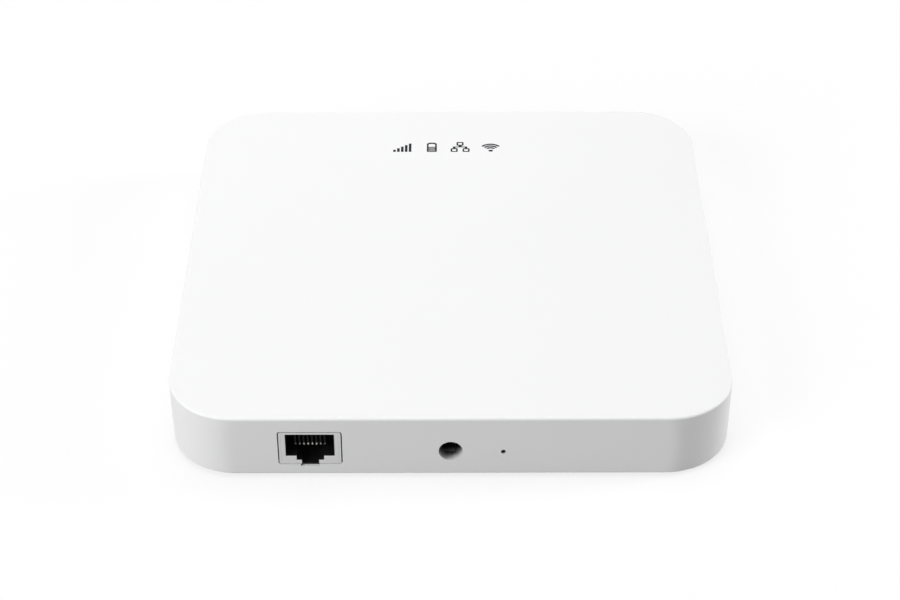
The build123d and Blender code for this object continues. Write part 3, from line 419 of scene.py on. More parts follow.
foilSetup = {
    "crinkle": 2.2,    # mm from crease to crease
    "relief": 0.05,
    "haze": 8.0,       # mm across a duller patch
    "dark": (0.60, 0.61, 0.63),
    "light": (0.72, 0.73, 0.75),
    "metal": 0.9,
    "roughness": 0.34,
    "duller": 0.12,
}


def foil(name, setup):
    # laminated pouch: silver with a fine crinkle
    finish = Finish(name)
    crinkle = finish.cells(setup["crinkle"], "SMOOTH_F1")
    haze = finish.noise(setup["haze"])
    return finish.done({
        "Base Color": finish.tint(haze, setup["dark"], setup["light"]),
        "Metallic": setup["metal"],
        "Roughness": setup["roughness"] + setup["duller"] * haze,
        "Normal": finish.bump(crinkle, setup["relief"]),
    })


filmSetup = {
    "meander": 20.0,    # mm, the size of the wave pattern
    "bare": 0.6,        # share of it without copper
    "dark": (0.035, 0.022, 0.012),
    "copper": (0.16, 0.075, 0.03),
    "roughness": 0.35,
    "uneven": 0.1,
    "relief": 0.02,
}


def film(name, setup):
    # flexible antenna: copper meanders under dark film
    finish = Finish(name)
    bands = finish.add("ShaderNodeTexWave", {"bands_direction": "Y", "wave_profile": "TRI"}, {
        "Vector": finish.place,
        "Scale": 1 / (setup["meander"] * mm),
    })["Fac"]
    copper = bands > setup["bare"]
    return finish.done({
        "Base Color": finish.tint(copper, setup["dark"], setup["copper"]),
        "Roughness": setup["roughness"] + setup["uneven"] * bands,
        "Normal": finish.bump(copper, setup["relief"]),
    })


# where two stuffs meet, in mm over the board
levelSetup = {
    "module": 0.8,
    "led": 0.3,
    "can": 1.0,
}

# which finish each piece of the hub wears
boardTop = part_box("main_board")[1].z / mm
moduleLevel = boardTop + levelSetup["module"]
ledLevel = boardTop + levelSetup["led"]
canLevel = boardTop + levelSetup["can"]
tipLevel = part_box("ethernet_contacts")[0].z / mm + wireSetup["tip"]
leadMiddle = sum(corner.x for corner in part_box("battery_lead")) / 2
powerAxis = {"x": -0.1, "z": 8.35}
# painted shade: the power hole's white wall turns grey deeper in
powerHoleShade = {
    **powerAxis,
    "reach": 2.97,     # mm from the hole's axis
    "from": -69.1,     # where the painted shade starts at the lip
    "to": -67.0,
    "grey": (0.36, 0.36, 0.36),
}
# painted shade: the pinhole's wall turns near-black deeper in
pinHoleShade = {
    "x": 12.62,
    "z": 8.1,
    "reach": 0.66,
    "from": -69.05,
    "to": -68.5,
    "grey": (0.05, 0.05, 0.05),
}
shellSetup = {
    "light": (0.880, 0.880, 0.886),
    "dark": (0.866, 0.866, 0.874),
    "grain": 0.16,
    "roughness": 0.46,
    "relief": 0.004,
    "shadedHoles": [powerHoleShade, pinHoleShade],
}
boreSetup = {
    **powerAxis,
    "black": (0.012, 0.012, 0.012),
    "grain": 0.3,
    "roughness": 0.55,
    "sheen": 0.2,
    "relief": 0.01,
}
shellWhite = shellPlastic("shellWhite", shellSetup)
baseWhite = moulded("baseWhite", (0.845, 0.845, 0.850), (0.820, 0.820, 0.828), 0.35, 0.62, 0.015)
footRubber = rubbery("footRubber", (0.052, 0.052, 0.055), (0.030, 0.030, 0.032), 0.4, 0.03)
zincSteel = plated("zincSteel", (0.62, 0.62, 0.63), (0.48, 0.48, 0.50), 0.34)
socketNickel = plated("socketNickel", (0.55, 0.55, 0.555), (0.50, 0.50, 0.505), 0.40, (0.05, 1, 1), 0.12)
socketBlack = moulded("socketBlack", (0.010, 0.010, 0.0105), (0.007, 0.007, 0.0075), 0.3, 0.34, 0.006)
# painted light and shade: the jack's bore grey at its mouth, black deeper in
jackBlack = boreLitAtMouth("jackBlack", {
    **boreSetup,
    "reach": 3.3,
    "from": -66.9,
    "to": -64.2,
    "grey": (0.36, 0.36, 0.36),
})
# painted light and shade: the spring leaf dull grey at the mouth, black deeper in
springBronze = boreLitAtMouth("springBronze", {
    **boreSetup,
    "reach": 5.0,
    "from": -65.6,
    "to": -64.3,
    "grey": (0.26, 0.25, 0.24),
})
contactGold = plated("contactGold", (0.88, 0.84, 0.74), (0.80, 0.74, 0.60), 0.20)
tinPlate = plated("tinPlate", (0.66, 0.66, 0.66), (0.56, 0.56, 0.57), 0.36)
springSteel = plated("springSteel", (0.60, 0.60, 0.61), (0.52, 0.52, 0.53), 0.26)
goldBrass = plated("goldBrass", (0.86, 0.66, 0.30), (0.74, 0.54, 0.22), 0.28)
chipBlack = moulded("chipBlack", (0.022, 0.022, 0.024), (0.014, 0.014, 0.015), 0.25, 0.6, 0.01)
buttonBlack = moulded("buttonBlack", (0.016, 0.016, 0.017), (0.011, 0.011, 0.012), 0.2, 0.45, 0.006)
baffleBlack = moulded("baffleBlack", (0.020, 0.020, 0.020), (0.013, 0.013, 0.013), 0.3, 0.7, 0.01)
ferrite = moulded("ferrite", (0.060, 0.058, 0.058), (0.035, 0.034, 0.034), 0.4, 0.75, 0.03)
creamNylon = moulded("creamNylon", (0.74, 0.69, 0.56), (0.68, 0.63, 0.50), 0.3, 0.5, 0.008)
heatPad = rubbery("heatPad", (0.32, 0.37, 0.42), (0.26, 0.30, 0.34), 0.5, 0.04)
blackFoam = rubbery("blackFoam", (0.022, 0.022, 0.022), (0.012, 0.012, 0.012), 0.3, 0.08)
cableJacket = rubbery("cableJacket", (0.016, 0.016, 0.016), (0.010, 0.010, 0.010), 0.6, 0.005)
boardGreen = resist("boardGreen", boardSetup)
lidTin = onBoard("lidTin", moduleLevel, (0.010, 0.10, 0.05), (0.62, 0.62, 0.63), 1.0)
ledGlow = onBoard("ledGlow", ledLevel, (0.75, 0.75, 0.72), (0.80, 0.66, 0.22), 0.0)
capacitorCan = onBoard("capacitorCan", canLevel, (0.018, 0.018, 0.018), (0.70, 0.70, 0.71), 1.0)
finishes = {
    shellWhite: ["top_shell"],
    baseWhite: ["base_plate"],
    footRubber: ["rubber_feet"],
    zincSteel: ["base_screws", "board_screws"],
    socketNickel: ["ethernet_shield"],
    socketBlack: ["ethernet_insert"],
    jackBlack: ["power_jack_body"],
    contactGold: ["ethernet_leads"],
    tippedWire("tippedWire", tipLevel, wireSetup): ["ethernet_contacts"],
    springBronze: ["power_jack_spring"],
    tinPlate: ["power_jack_pin", "power_jack_terminal", "reset_switch_cover", "reset_switch_terminals",
               "processor_shield"],
    springSteel: ["reset_dome"],
    goldBrass: ["antenna_plug", "wifi_antenna"],
    chipBlack: ["main_processor", "memory_chip", "flash_chip", "ethernet_transformer"],
    buttonBlack: ["reset_switch_body", "reset_plunger"],
    baffleBlack: ["light_baffle"],
    ferrite: ["power_inductors"],
    creamNylon: ["battery_socket", "battery_plug"],
    heatPad: ["thermal_pad"],
    blackFoam: ["battery_pad"],
    cableJacket: ["antenna_cable"],
    boardGreen: ["main_board", "battery_protection_board"],
    lidTin: ["cellular_module", "wifi_module", "mesh_radio_module"],
    ledGlow: ["status_leds"],
    capacitorCan: ["power_capacitors"],
    clearGuide("clearGuide", guideSetup): ["light_guide"],
    foil("pouchFoil", foilSetup): ["battery_cell"],
    film("antennaFilm", filmSetup): ["cellular_antenna"],
    pairOfWires("leadPair", leadMiddle, leadSetup): ["battery_lead"],
}
for material, wearers in finishes.items():
    for wearer in wearers:
        mesh = nodes[wearer].data
        mesh.materials.clear()
        mesh.materials.append(material)
print("finishes on", sum(len(wearers) for wearers in finishes.values()), "nodes")


inkSetup = {
    "sunk": 0.01,      # mm that a print reaches into the lid
    "proud": 0.02,     # mm that it stands over it
    "screen": 0.12,    # mm from thread to thread of the screen
    "dark": (0.010, 0.010, 0.011),
    "light": (0.016, 0.016, 0.018),
    "roughness": 0.55,
    "uneven": 0.1,
    "sheen": 0.1,
    "relief": 0.002,
}


def printInk(name, setup):
    # screen-printed ink: matt, a little uneven
    finish = Finish(name)
    screen = finish.noise(setup["screen"])
    return finish.done({
        "Base Color": finish.tint(screen, setup["dark"], setup["light"]),
        "Roughness": setup["roughness"] + setup["uneven"] * screen,
        "Specular IOR Level": setup["sheen"],
        "Normal": finish.bump(screen, setup["relief"]),
    })


ink = printInk("printInk", inkSetup)
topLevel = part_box("top_shell")[1].z
inkThickness = (inkSetup["sunk"] + inkSetup["proud"]) * mm
inkMiddle = topLevel + (inkSetup["proud"] - inkSetup["sunk"]) / 2 * mm


def keepPiece(name, mesh, body):
    # a finished mesh as a piece of the hub, at the origin
    piece = bpy.data.objects.new(name, mesh)
    bpy.context.scene.collection.objects.link(piece)
    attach(piece, body)
    return piece


def evaluatedMesh(scratch):
    # the scratch object's mesh as its modifiers leave it, and the scratch object gone
    graph = bpy.context.evaluated_depsgraph_get()
    mesh = bpy.data.meshes.new_from_object(scratch.evaluated_get(graph), depsgraph=graph)
    bpy.data.objects.remove(scratch)
    return mesh


skinSetup = {
    "merge": 0.0005,    # mm between points that are one
    "crease": 35.0,     # degrees past which an edge stays sharp
    "centre": 52.1,     # mm from the hub's middle to a round corner's centre, both ways
    "outside": 16.0,    # mm from there past which a point is on the outside
    "span": 6.5,        # widest stretch of a round corner that one edge crosses, in degrees
}


def roundCorners(shell, setup):
    # edges that cut across a round corner are divided and pushed out onto the round
    centre = setup["centre"] * mm

    def reach(point):
        return Vector((max(abs(point.x) - centre, 0.0), max(abs(point.y) - centre, 0.0)))

    def outside(point):
        return min(reach(point)) > 0 and reach(point).length > setup["outside"] * mm

    profile = {point.co.z: reach(point.co).length for point in shell.verts if outside(point.co)}
    levels = sorted(profile)
    radii = [profile[level] for level in levels]
    while True:
        crossing = []
        for edge in shell.edges:
            first, second = (vert.co for vert in edge.verts)
            if not (outside(first) and outside(second)):
                continue
            if first.x * second.x < 0 or first.y * second.y < 0:
                continue
            flat = abs(first.z - second.z) < setup["merge"] * mm
            top = first.z > levels[-1] - setup["merge"] * mm
            bottom = first.z < levels[0] + setup["merge"] * mm
            wide = reach(first).angle(reach(second)) > math.radians(setup["span"])
            if wide and not (flat and (top or bottom)):
                crossing.append(edge)
        if not crossing:
            return
        divided = bmesh.ops.subdivide_edges(shell, edges=crossing, cuts=1)["geom_inner"]
        for vert in [part for part in divided if isinstance(part, bmesh.types.BMVert)]:
            grown = reach(vert.co).normalized() * float(np.interp(vert.co.z, levels, radii))
            vert.co.x = math.copysign(centre + grown.x, vert.co.x)
            vert.co.y = math.copysign(centre + grown.y, vert.co.y)
        bmesh.ops.triangulate(shell, faces=[face for face in shell.faces if len(face.verts) > 3])


def shellSkin(setup):
    # the shell's own faces, joined and shaded anew, so that flat walls stay flat beside rounded edges
    joined = bmesh.new()
    joined.from_mesh(nodes["top_shell"].data)
    bmesh.ops.remove_doubles(joined, verts=joined.verts, dist=setup["merge"] * mm)
    roundCorners(joined, setup)
    joined.verts.index_update()
    corners = [vert.co[:] for vert in joined.verts]
    faces = [[vert.index for vert in face.verts] for face in joined.faces]
    joined.free()
    plain = bpy.data.meshes.new("shellScratch")
    plain.from_pydata(corners, [], faces)
    plain.shade_smooth()
    plain.set_sharp_from_angle(angle=math.radians(setup["crease"]))
    scratch = bpy.data.objects.new("shellScratch", plain)
    bpy.context.scene.collection.objects.link(scratch)
    shading = scratch.modifiers.new("shading", "WEIGHTED_NORMAL")
    shading.keep_sharp = True
    mesh = evaluatedMesh(scratch)
    mesh.name = "shell_skin"
    mesh.materials.append(shellWhite)
    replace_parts(keepPiece("shell_skin", mesh, "hub"), "top_shell")
    return mesh


skin = shellSkin(skinSetup)
print("shell joined into", len(skin.vertices), "points")


def growMesh(tree, values, name, places=()):
    # runs a geometry tree on a mesh of points with its named inputs set
    seeds = bpy.data.meshes.new(name + "Scratch")
    seeds.from_pydata(places, [], [])
    scratch = bpy.data.objects.new(name + "Scratch", seeds)
    bpy.context.scene.collection.objects.link(scratch)
    modifier = scratch.modifiers.new(name, "NODES")
    modifier.node_group = tree
    for item in tree.interface.items_tree:
        if item.item_type == "SOCKET" and item.in_out == "INPUT" and item.name in values:
            modifier[item.identifier] = values[item.name]
    mesh = evaluatedMesh(scratch)
    mesh.name = name
    if mesh.materials[0] is None:
        mesh.materials.pop(index=0)  # the scratch mesh's own empty slot
    return mesh


class Grower(Recipe):
    # a geometry tree with named inputs that ends in one solid mesh of one material
    def __init__(self, name, inputs):
        super().__init__(bpy.data.node_groups.new(name, "GeometryNodeTree"))
        for label, kind in inputs.items():
            self.tree.interface.new_socket(label, in_out="INPUT", socket_type=kind)
        self.tree.interface.new_socket("Geometry", in_out="OUTPUT", socket_type="NodeSocketGeometry")
        self.given = self.add("NodeGroupInput")

    def vector(self, x=0.0, y=0.0, z=0.0):
        return self.add("ShaderNodeCombineXYZ", None, {"X": x, "Y": y, "Z": z})["Vector"]

    def done(self, geometry, material):
        solid = self.add("GeometryNodeRealizeInstances", None, {"Geometry": geometry})["Geometry"]
        feeds = {"Geometry": solid, "Material": material}
        dressed = self.add("GeometryNodeSetMaterial", None, feeds)["Geometry"]
        self.add("NodeGroupOutput", None, {"Geometry": dressed})
        return self.tree


def barsTree():
    # bars of one width, each a step further than the last and taller by the same rise
    grower = Grower("bars", {
        "Count": "NodeSocketInt",
        "Left": "NodeSocketFloat",
        "Bottom": "NodeSocketFloat",
        "Width": "NodeSocketFloat",
        "Height": "NodeSocketFloat",
        "Step across": "NodeSocketFloat",
        "Step up": "NodeSocketFloat",
        "Rise": "NodeSocketFloat",
        "Thickness": "NodeSocketFloat",
        "Level": "NodeSocketFloat",
    })
    given = grower.given
    index = grower.add("GeometryNodeInputIndex")["Index"]
    height = given["Height"] + given["Rise"] * index
    centre = grower.vector(
        given["Left"] + given["Width"] / 2 + given["Step across"] * index,
        given["Bottom"] + height / 2 + given["Step up"] * index,
        given["Level"],
    )
    points = grower.add("GeometryNodePoints", None, {"Count": given["Count"], "Position": centre})["Points"]
    cube = grower.add("GeometryNodeMeshCube", None, {"Size": (1, 1, 1)})["Mesh"]
    bars = grower.add("GeometryNodeInstanceOnPoints", None, {
        "Points": points,
        "Instance": cube,
        "Scale": grower.vector(given["Width"], height, given["Thickness"]),
    })["Instances"]
    return grower.done(bars, ink)


printedBars = barsTree()
signalSetup = {
    "Count": 5,
    "Left": -15.98 * mm,
    "Bottom": 47.33 * mm,
    "Width": 0.74 * mm,
    "Height": 1.06 * mm,
    "Step across": 1.10 * mm,
    "Step up": 0.0,
    "Rise": 0.80 * mm,
    "Thickness": inkThickness,
    "Level": inkMiddle,
}
keepPiece("signal_sign", growMesh(printedBars, signalSetup, "signal_sign"), "hub")


wavesSetup = {
    "Count": 3,
    "Middle": 11.56 * mm,
    "Bottom": 48.02 * mm,
    "First radius": 1.31 * mm,
    "Step": 0.92 * mm,
    "Half angle": math.radians(49.5),
    "Stroke": 0.61 * mm,
    "Dot": 0.64 * mm,
    "Dot drop": 0.16 * mm,
    "Thickness": inkThickness,
    "Level": inkMiddle,
}
waveShape = {
    "arcPoints": 40,
    "dotPoints": 32,
    "dotSquash": 0.72,    # height of the dot over its width
}


def wavesTree(shape):
    # arcs of one stroke round a dot
    grower = Grower("waves", {
        "Count": "NodeSocketInt",
        "Middle": "NodeSocketFloat",
        "Bottom": "NodeSocketFloat",
        "First radius": "NodeSocketFloat",
        "Step": "NodeSocketFloat",
        "Half angle": "NodeSocketFloat",
        "Stroke": "NodeSocketFloat",
        "Dot": "NodeSocketFloat",
        "Dot drop": "NodeSocketFloat",
        "Thickness": "NodeSocketFloat",
        "Level": "NodeSocketFloat",
    })
    given = grower.given
    index = grower.add("GeometryNodeInputIndex")["Index"]
    centre = grower.vector(given["Middle"], given["Bottom"], given["Level"])
    low = grower.vector(given["Middle"], given["Bottom"] - given["Dot drop"], given["Level"])
    arc = grower.add("GeometryNodeCurveArc", {"mode": "RADIUS"}, {
        "Resolution": shape["arcPoints"],
        "Radius": 1.0,
        "Start Angle": math.pi / 2 - given["Half angle"],
        "Sweep Angle": 2 * given["Half angle"],
    })["Curve"]
    points = grower.add("GeometryNodePoints", None, {"Count": given["Count"], "Position": centre})["Points"]
    arcs = grower.add("GeometryNodeInstanceOnPoints", None, {
        "Points": points,
        "Instance": arc,
        "Scale": given["First radius"] + given["Step"] * index,
    })["Instances"]
    lines = grower.add("GeometryNodeRealizeInstances", None, {"Geometry": arcs})["Geometry"]
    section = grower.add("GeometryNodeCurvePrimitiveQuadrilateral", None, {
        "Width": given["Stroke"],
        "Height": given["Thickness"],
    })["Curve"]
    strokes = grower.add("GeometryNodeCurveToMesh", None, {
        "Curve": lines,
        "Profile Curve": section,
        "Fill Caps": True,
    })["Mesh"]
    flat = grower.add("GeometryNodeSetShadeSmooth", None, {
        "Geometry": strokes,
        "Shade Smooth": False,
    })["Geometry"]
    dot = grower.add("GeometryNodeMeshCylinder", None, {
        "Vertices": shape["dotPoints"],
        "Radius": given["Dot"],
        "Depth": given["Thickness"],
    })["Mesh"]
    placed = grower.add("GeometryNodeTransform", None, {
        "Geometry": dot,
        "Translation": low,
        "Scale": (1, shape["dotSquash"], 1),
    })["Geometry"]
    both = grower.add("GeometryNodeJoinGeometry", None, {"Geometry": [flat, placed]})["Geometry"]
    return grower.done(both, ink)


keepPiece("wireless_sign", growMesh(wavesTree(waveShape), wavesSetup, "wireless_sign"), "hub")


def inkPlate(name, *groups):
    # flat print from closed outlines in millimetres; in a group, an outline inside another is a hole
    plate = bmesh.new()
    for outlines in groups:
        curve = bpy.data.curves.new(name, "CURVE")
        curve.dimensions = "2D"
        curve.fill_mode = "BOTH"
        curve.extrude = inkThickness / 2
        for outline in outlines:
            spline = curve.splines.new("POLY")
            spline.points.add(len(outline) - 1)
            for point, (x, y) in zip(spline.points, outline):
                point.co = (x * mm, y * mm, 0.0, 1.0)
            spline.use_cyclic_u = True
        scratch = bpy.data.objects.new(name + "Scratch", curve)
        bpy.context.scene.collection.objects.link(scratch)
        plate.from_mesh(evaluatedMesh(scratch))
    plate.transform(Matrix.Translation((0, 0, inkMiddle)))
    mesh = bpy.data.meshes.new(name)
    plate.to_mesh(mesh)
    plate.free()
    mesh.materials.append(ink)
    return keepPiece(name, mesh, "hub")


def block(left, bottom, width, height, cut=0.0):
    # a rectangle with its corners cut off
    right = left + width
    top = bottom + height
    if cut == 0:
        return [(left, bottom), (right, bottom), (right, top), (left, top)]
    return [
        (left + cut, bottom), (right - cut, bottom), (right, bottom + cut), (right, top - cut),
        (right - cut, top), (left + cut, top), (left, top - cut), (left, bottom + cut),
    ]


batterySetup = {
    "left": -6.46,
    "bottom": 47.30,
    "width": 2.80,
    "shoulder": 4.18,     # height of the cell's body
    "height": 4.76,       # height with its cap
    "cap": 1.44,          # width of the cap
    "stroke": 0.46,
    "roof": 0.66,         # stroke over the cap
    "corner": 0.20,
    "levels": 5,
    "levelHeight": 0.26,
    "levelPitch": 0.43,
}


def batterySign(setup):
    # upright cell that slopes in to a narrower cap, filled two thirds by level bars
    left = setup["left"]
    bottom = setup["bottom"]
    right = left + setup["width"]
    shoulder = bottom + setup["shoulder"]
    top = bottom + setup["height"]
    middle = (left + right) / 2
    capHalf = setup["cap"] / 2
    corner = setup["corner"]
    stroke = setup["stroke"]
    inner = [left + stroke, bottom + stroke, right - stroke, shoulder - stroke]
    inkPlate("battery_sign", [
        [
            (left + corner, bottom), (right - corner, bottom), (right, bottom + corner),
            (right, shoulder), (right - corner, shoulder + corner), (middle + capHalf, top),
            (middle - capHalf, top), (left + corner, shoulder + corner), (left, shoulder),
            (left, bottom + corner),
        ],
        [
            (inner[0], inner[1]), (inner[2], inner[1]), (inner[2], inner[3]),
            (middle + capHalf - stroke / 3, top - setup["roof"]),
            (middle - capHalf + stroke / 3, top - setup["roof"]),
            (inner[0], inner[3]),
        ],
    ])
    levels = {
        "Count": setup["levels"],
        "Left": inner[0] * mm,
        "Bottom": (inner[1] + setup["levelPitch"] - setup["levelHeight"]) * mm,
        "Width": (inner[2] - inner[0]) * mm,
        "Height": setup["levelHeight"] * mm,
        "Step across": 0.0,
        "Step up": setup["levelPitch"] * mm,
        "Rise": 0.0,
        "Thickness": inkThickness,
        "Level": inkMiddle,
    }
    keepPiece("battery_levels", growMesh(printedBars, levels, "battery_levels"), "hub")


batterySign(batterySetup)

networkSetup = {
    "left": 0.26,
    "bottom": 47.28,
    "width": 5.34,
    "height": 5.06,
    "boxWidth": 1.98,
    "boxHeight": 1.84,
    "stroke": 0.44,
    "line": 0.40,
    "stem": 0.85,
    "drop": 0.70,
    "corner": 0.22,
}


def networkSign(setup):
    # one box over two, joined by a stem, a bar and two drops
    boxWidth = setup["boxWidth"]
    boxHeight = setup["boxHeight"]
    stroke = setup["stroke"]
    left = setup["left"]
    bottom = setup["bottom"]
    right = left + setup["width"]
    top = bottom + setup["height"]
    middle = (left + right) / 2
    boxes = []
    for x, y in ((left, bottom), (right - boxWidth, bottom), (middle - boxWidth / 2, top - boxHeight)):
        boxes.append(block(x, y, boxWidth, boxHeight, setup["corner"]))
        boxes.append(block(x + stroke, y + stroke, boxWidth - 2 * stroke, boxHeight - 2 * stroke))
    dropMiddle = left + boxWidth / 2
    outer = dropMiddle - setup["drop"] / 2
    inner = dropMiddle + setup["drop"] / 2
    mirrored = left + right
    boxTop = bottom + boxHeight
    boxBottom = top - boxHeight
    barLow = (boxTop + boxBottom - setup["line"]) / 2
    barHigh = barLow + setup["line"]
    stemLeft = middle - setup["stem"] / 2
    stemRight = middle + setup["stem"] / 2
    lines = [
        (outer, boxTop), (inner, boxTop), (inner, barLow), (mirrored - inner, barLow),
        (mirrored - inner, boxTop), (mirrored - outer, boxTop), (mirrored - outer, barHigh),
        (stemRight, barHigh), (stemRight, boxBottom), (stemLeft, boxBottom), (stemLeft, barHigh),
        (outer, barHigh),
    ]
    inkPlate("network_sign", boxes, [lines])


networkSign(networkSetup)
print("pictograms printed")


screwShape = {
    "turns": 48,       # sides of the round
    "eased": 0.3,      # share of the head's edge at its middle slice
    "taper": 0.6,      # length of the point over the shank's radius
    "point": 0.4,      # radius of the point over the shank's
    "overlap": 0.2,    # share of the head's height that the shank reaches into
}


def screwTree(shape):
    # pan-head screws with a cross recess, head up, seated on the points of the mesh
    grower = Grower("screws", {
        "Geometry": "NodeSocketGeometry",
        "Head radius": "NodeSocketFloat",
        "Head height": "NodeSocketFloat",
        "Head edge": "NodeSocketFloat",
        "Shank radius": "NodeSocketFloat",
        "Shank length": "NodeSocketFloat",
        "Recess span": "NodeSocketFloat",
        "Recess width": "NodeSocketFloat",
        "Recess depth": "NodeSocketFloat",
        "Turn over": "NodeSocketFloat",
    })
    given = grower.given

    def disc(radius, low, high):
        # a round slice between two levels
        slab = grower.add("GeometryNodeMeshCylinder", None, {
            "Vertices": shape["turns"],
            "Radius": radius,
            "Depth": high - low,
        })["Mesh"]
        return grower.add("GeometryNodeTransform", None, {
            "Geometry": slab,
            "Translation": grower.vector(0.0, 0.0, (low + high) / 2),
        })["Geometry"]

    def hull(slices):
        joined = grower.add("GeometryNodeJoinGeometry", None, {"Geometry": slices})["Geometry"]
        return grower.add("GeometryNodeConvexHull", None, {"Geometry": joined})["Convex Hull"]

    def slot(across, along):
        arm = grower.add("GeometryNodeMeshCube", None, {
            "Size": grower.vector(across, along, 2 * given["Recess depth"]),
        })["Mesh"]
        return grower.add("GeometryNodeTransform", None, {
            "Geometry": arm,
            "Translation": grower.vector(0.0, 0.0, given["Head height"]),
        })["Geometry"]

    height = given["Head height"]
    edge = given["Head edge"]
    radius = given["Head radius"]
    shank = given["Shank radius"]
    length = given["Shank length"]
    eased = shape["eased"] * edge
    into = shape["overlap"] * height
    head = hull([
        disc(radius, 0.0, height - edge),
        disc(radius - eased, 0.0, height - eased),
        disc(radius - edge, 0.0, height),
    ])
    pin = hull([
        disc(shank, shape["taper"] * shank - length, into),
        disc(shape["point"] * shank, 0.0 - length, into),
    ])
    union = {"operation": "UNION", "solver": "MANIFOLD"}
    whole = grower.add("GeometryNodeMeshBoolean", union, {"Mesh 2": [head, pin]})["Mesh"]
    difference = {"operation": "DIFFERENCE", "solver": "MANIFOLD"}
    cut = grower.add("GeometryNodeMeshBoolean", difference, {
        "Mesh 1": whole,
        "Mesh 2": [
            slot(given["Recess width"], given["Recess span"]),
            slot(given["Recess span"], given["Recess width"]),
        ],
    })["Mesh"]
    screws = grower.add("GeometryNodeInstanceOnPoints", None, {
        "Points": given["Geometry"],
        "Instance": cut,
        "Rotation": grower.vector(given["Turn over"], 0.0, 0.0),
    })["Instances"]
    return grower.done(screws, zincSteel)


baseScrewSetup = {
    "Head radius": 2.4 * mm,
    "Head height": 1.8 * mm,
    "Head edge": 0.5 * mm,
    "Shank radius": 1.25 * mm,
    "Shank length": 9.0 * mm,
    "Recess span": 2.7 * mm,
    "Recess width": 0.72 * mm,
    "Recess depth": 1.1 * mm,
    "Turn over": math.pi,
}
baseScrewSeats = {
    "across": (-56.0, 56.0),
    "along": (-56.0, 56.0),
    "level": 3.9,    # mm over the table, under the heads
}
baseScrewPlaces = [
    (x * mm, y * mm, baseScrewSeats["level"] * mm)
    for x in baseScrewSeats["across"]
    for y in baseScrewSeats["along"]
]
screws = growMesh(screwTree(screwShape), baseScrewSetup, "cross_screws", baseScrewPlaces)
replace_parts(keepPiece("cross_screws", screws, "hub"), "base_screws")
print("screws driven, each with", len(screws.polygons) // len(baseScrewPlaces), "faces")

domeSetup = {
    "x": 12.62,
    "z": 8.1,
    "rim": -62.9,       # where the rim stands in the cup
    "radius": 1.05,
    "height": 0.45,
    "crown": 0.25,      # share of the radius that is flat on top
    "sheet": 0.1,
    "merge": 0.001,     # mm between points that are one
    "rings": 14,
    "turns": 64,
    "pressed": 0.6,     # share of its height that is left when the button is down
}


def snapDome(setup):
    # dished spring disc behind the reset button, drawn at rest; the real disc gives way when the button is
    # pressed
    def rise(share):
        down = max(0.0, (share - setup["crown"]) / (1 - setup["crown"]))
        return setup["height"] * (0.5 + 0.5 * math.cos(math.pi * min(1.0, down)))

    shares = [step / setup["rings"] for step in range(setup["rings"] + 1)]
    outer = [(share * setup["radius"], rise(share)) for share in shares]
    under = [(reach, max(0.0, level - setup["sheet"])) for reach, level in outer[-3::-1]]
    disc = bmesh.new()
    section = [disc.verts.new((reach * mm, -level * mm, 0.0)) for reach, level in outer + under]
    edges = [disc.edges.new(pair) for pair in zip(section, section[1:])]
    bmesh.ops.spin(disc, geom=section + edges, cent=(0, 0, 0), axis=(0, 1, 0), angle=2 * math.pi,
                   steps=setup["turns"], use_merge=True)
    bmesh.ops.remove_doubles(disc, verts=disc.verts, dist=setup["merge"] * mm)
    bmesh.ops.recalc_face_normals(disc, faces=disc.faces)
    foot = Vector((setup["x"], setup["rim"], setup["z"])) * mm
    disc.transform(Matrix.Translation(foot))
    mesh = bpy.data.meshes.new("snap_dome")
    disc.to_mesh(mesh)
    disc.free()
    mesh.materials.append(springSteel)
    dome = keepPiece("snap_dome", mesh, "hub")
    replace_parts(dome, "reset_dome")
    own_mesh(dome)
    return mesh


snapped = snapDome(domeSetup)
print("snap dome with", len(snapped.polygons), "faces")

cameraSetup = {
    "sensor": 36.0,        # mm wide
    "focal": 85.0378,      # mm
    "distance": 572.6451,  # mm from the aim
    "elevation": 37.1725,  # degrees
    "yaw": -0.1716,
    "pitch": 0.0768,
    "pan": -0.0073,
    "aim": 1.0,            # mm over the table, the lower rim of the shell
    "near": 0.02,          # m, the nearest and the farthest that it sees
    "far": 50.0,
}


def makeCamera(setup):
    elevation = math.radians(setup["elevation"])
    yaw = math.radians(setup["yaw"])
    pitch = math.radians(setup["pitch"])
    pan = math.radians(setup["pan"])
    back = Vector((
        math.sin(yaw) * math.cos(elevation),
        -math.cos(yaw) * math.cos(elevation),
        math.sin(elevation),
    ))
    right = Vector((math.cos(yaw), math.sin(yaw), 0.0))
    ahead = -back
    ahead = math.cos(pitch) * ahead + math.sin(pitch) * right.cross(ahead)
    up = right.cross(ahead)
    ahead = math.cos(pan) * ahead + math.sin(pan) * right
    right = ahead.cross(up)
    lens = bpy.data.cameras.new("camera")
    lens.sensor_width = setup["sensor"]
    lens.lens = setup["focal"]
    lens.clip_start = setup["near"]
    lens.clip_end = setup["far"]
    camera = bpy.data.objects.new("camera", lens)
    place = Matrix((right, up, -ahead)).transposed().to_4x4()
    place.translation = Vector((0, 0, setup["aim"] * mm)) + back * setup["distance"] * mm
    camera.matrix_world = place
    bpy.context.scene.collection.objects.link(camera)
    bpy.context.scene.camera = camera


makeCamera(cameraSetup)

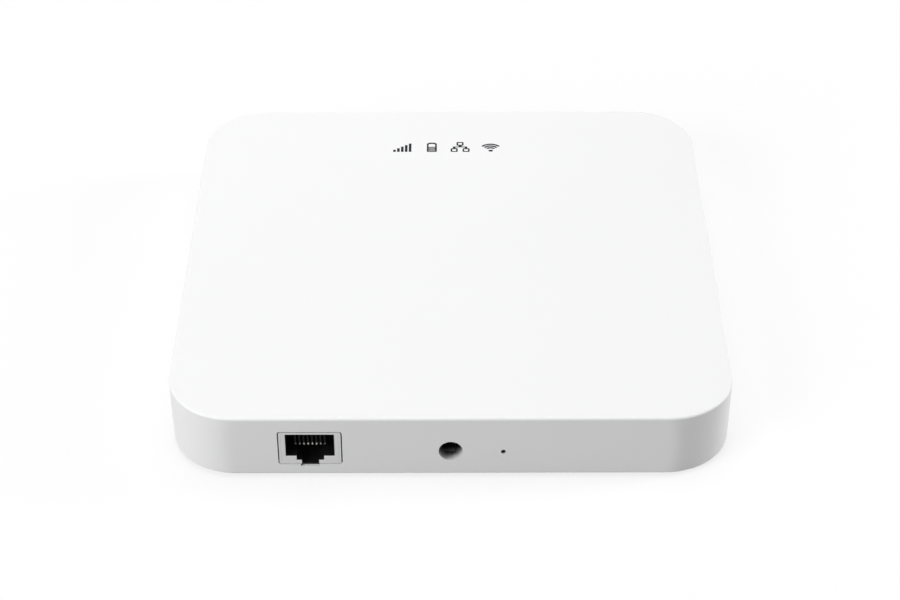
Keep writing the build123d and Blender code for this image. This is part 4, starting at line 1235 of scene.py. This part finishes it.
# places and sizes in metres
lightSetup = {
    "overhead": {"place": (0.0, 0.1, 1.3), "size": (1.4, 1.2), "watts": 10.15},
    "leftSide": {"place": (-0.97, -0.82, 0.59), "size": (0.8, 0.8), "watts": 13.5},
    "rightSide": {"place": (1.25, 0.22, 0.27), "size": (0.35, 0.8), "watts": 11.5},
    "backFill": {"place": (-0.3, 1.5, 0.35), "size": (1.0, 0.5), "watts": 5.0},
}
for name, setup in lightSetup.items():
    lamp = bpy.data.lights.new(name, "AREA")
    lamp.shape = "RECTANGLE"
    lamp.size, lamp.size_y = setup["size"]
    lamp.energy = setup["watts"]
    holder = bpy.data.objects.new(name, lamp)
    holder.location = setup["place"]
    holder.rotation_euler = (-Vector(setup["place"])).to_track_quat("-Z", "Y").to_euler()
    bpy.context.scene.collection.objects.link(holder)


def seenDirectly(recipe):
    # one where the camera, a mirror or clear stuff looks straight at the surroundings
    path = recipe.add("ShaderNodeLightPath")
    return path["Is Camera Ray"].maths(
        "MAXIMUM",
        path["Is Camera Ray"],
        path["Is Glossy Ray"].maths("MAXIMUM", path["Is Glossy Ray"], path["Is Transmission Ray"]),
    )


stageSetup = {
    "skyLight": 0.13,     # what the surroundings give to the hub
    "floorSize": 1.6,     # m
    "floorTooth": 0.7,    # mm across a spot of the paper
    "floorSpot": 0.99,    # tone of a spot
    "floorShade": 0.99,   # the paper as it is seen
    "floorBounce": 0.30,  # the paper as it lights the hub
    "floorGlow": 0.75,    # share of plain white in the floor as it is seen
}


def makeWorld(setup):
    world = bpy.data.worlds.new("surroundings")
    world.use_nodes = True
    bpy.context.scene.world = world
    recipe = Recipe(world.node_tree)
    world.node_tree.nodes.clear()
    seen = seenDirectly(recipe)
    sky = recipe.add("ShaderNodeBackground", None, {
        "Color": (1, 1, 1, 1),
        "Strength": setup["skyLight"] + (1 - setup["skyLight"]) * seen,
    })["Background"]
    recipe.add("ShaderNodeOutputWorld", None, {"Surface": sky})


def makeFloor(setup):
    finish = Finish("paperFloor")
    tooth = finish.noise(setup["floorTooth"])
    seen = seenDirectly(finish)
    light = setup["floorShade"]
    shade = finish.tint(tooth, [light] * 3, [light * setup["floorSpot"]] * 3)
    paper = finish.add("ShaderNodeBsdfDiffuse", None, {
        "Color": finish.tint(seen, [setup["floorBounce"]] * 3, shade),
    })["BSDF"]
    glow = finish.add("ShaderNodeEmission", None, {"Color": (1, 1, 1, 1), "Strength": 1.0})["Emission"]
    mixed = finish.add("ShaderNodeMixShader", None, {
        0: seen * setup["floorGlow"],
        1: paper,
        2: glow,
    })["Shader"]
    finish.add("ShaderNodeOutputMaterial", None, {"Surface": mixed})
    half = setup["floorSize"] / 2
    mesh = bpy.data.meshes.new("floor")
    corners = [(-half, -half, 0), (half, -half, 0), (half, half, 0), (-half, half, 0)]
    mesh.from_pydata(corners, [], [(0, 1, 2, 3)])
    mesh.materials.append(finish.material)
    floor = bpy.data.objects.new("floor", mesh)
    bpy.context.scene.collection.objects.link(floor)


makeWorld(stageSetup)
makeFloor(stageSetup)
bpy.context.scene.view_settings.view_transform = "Standard"
print("camera, lights and floor in place")
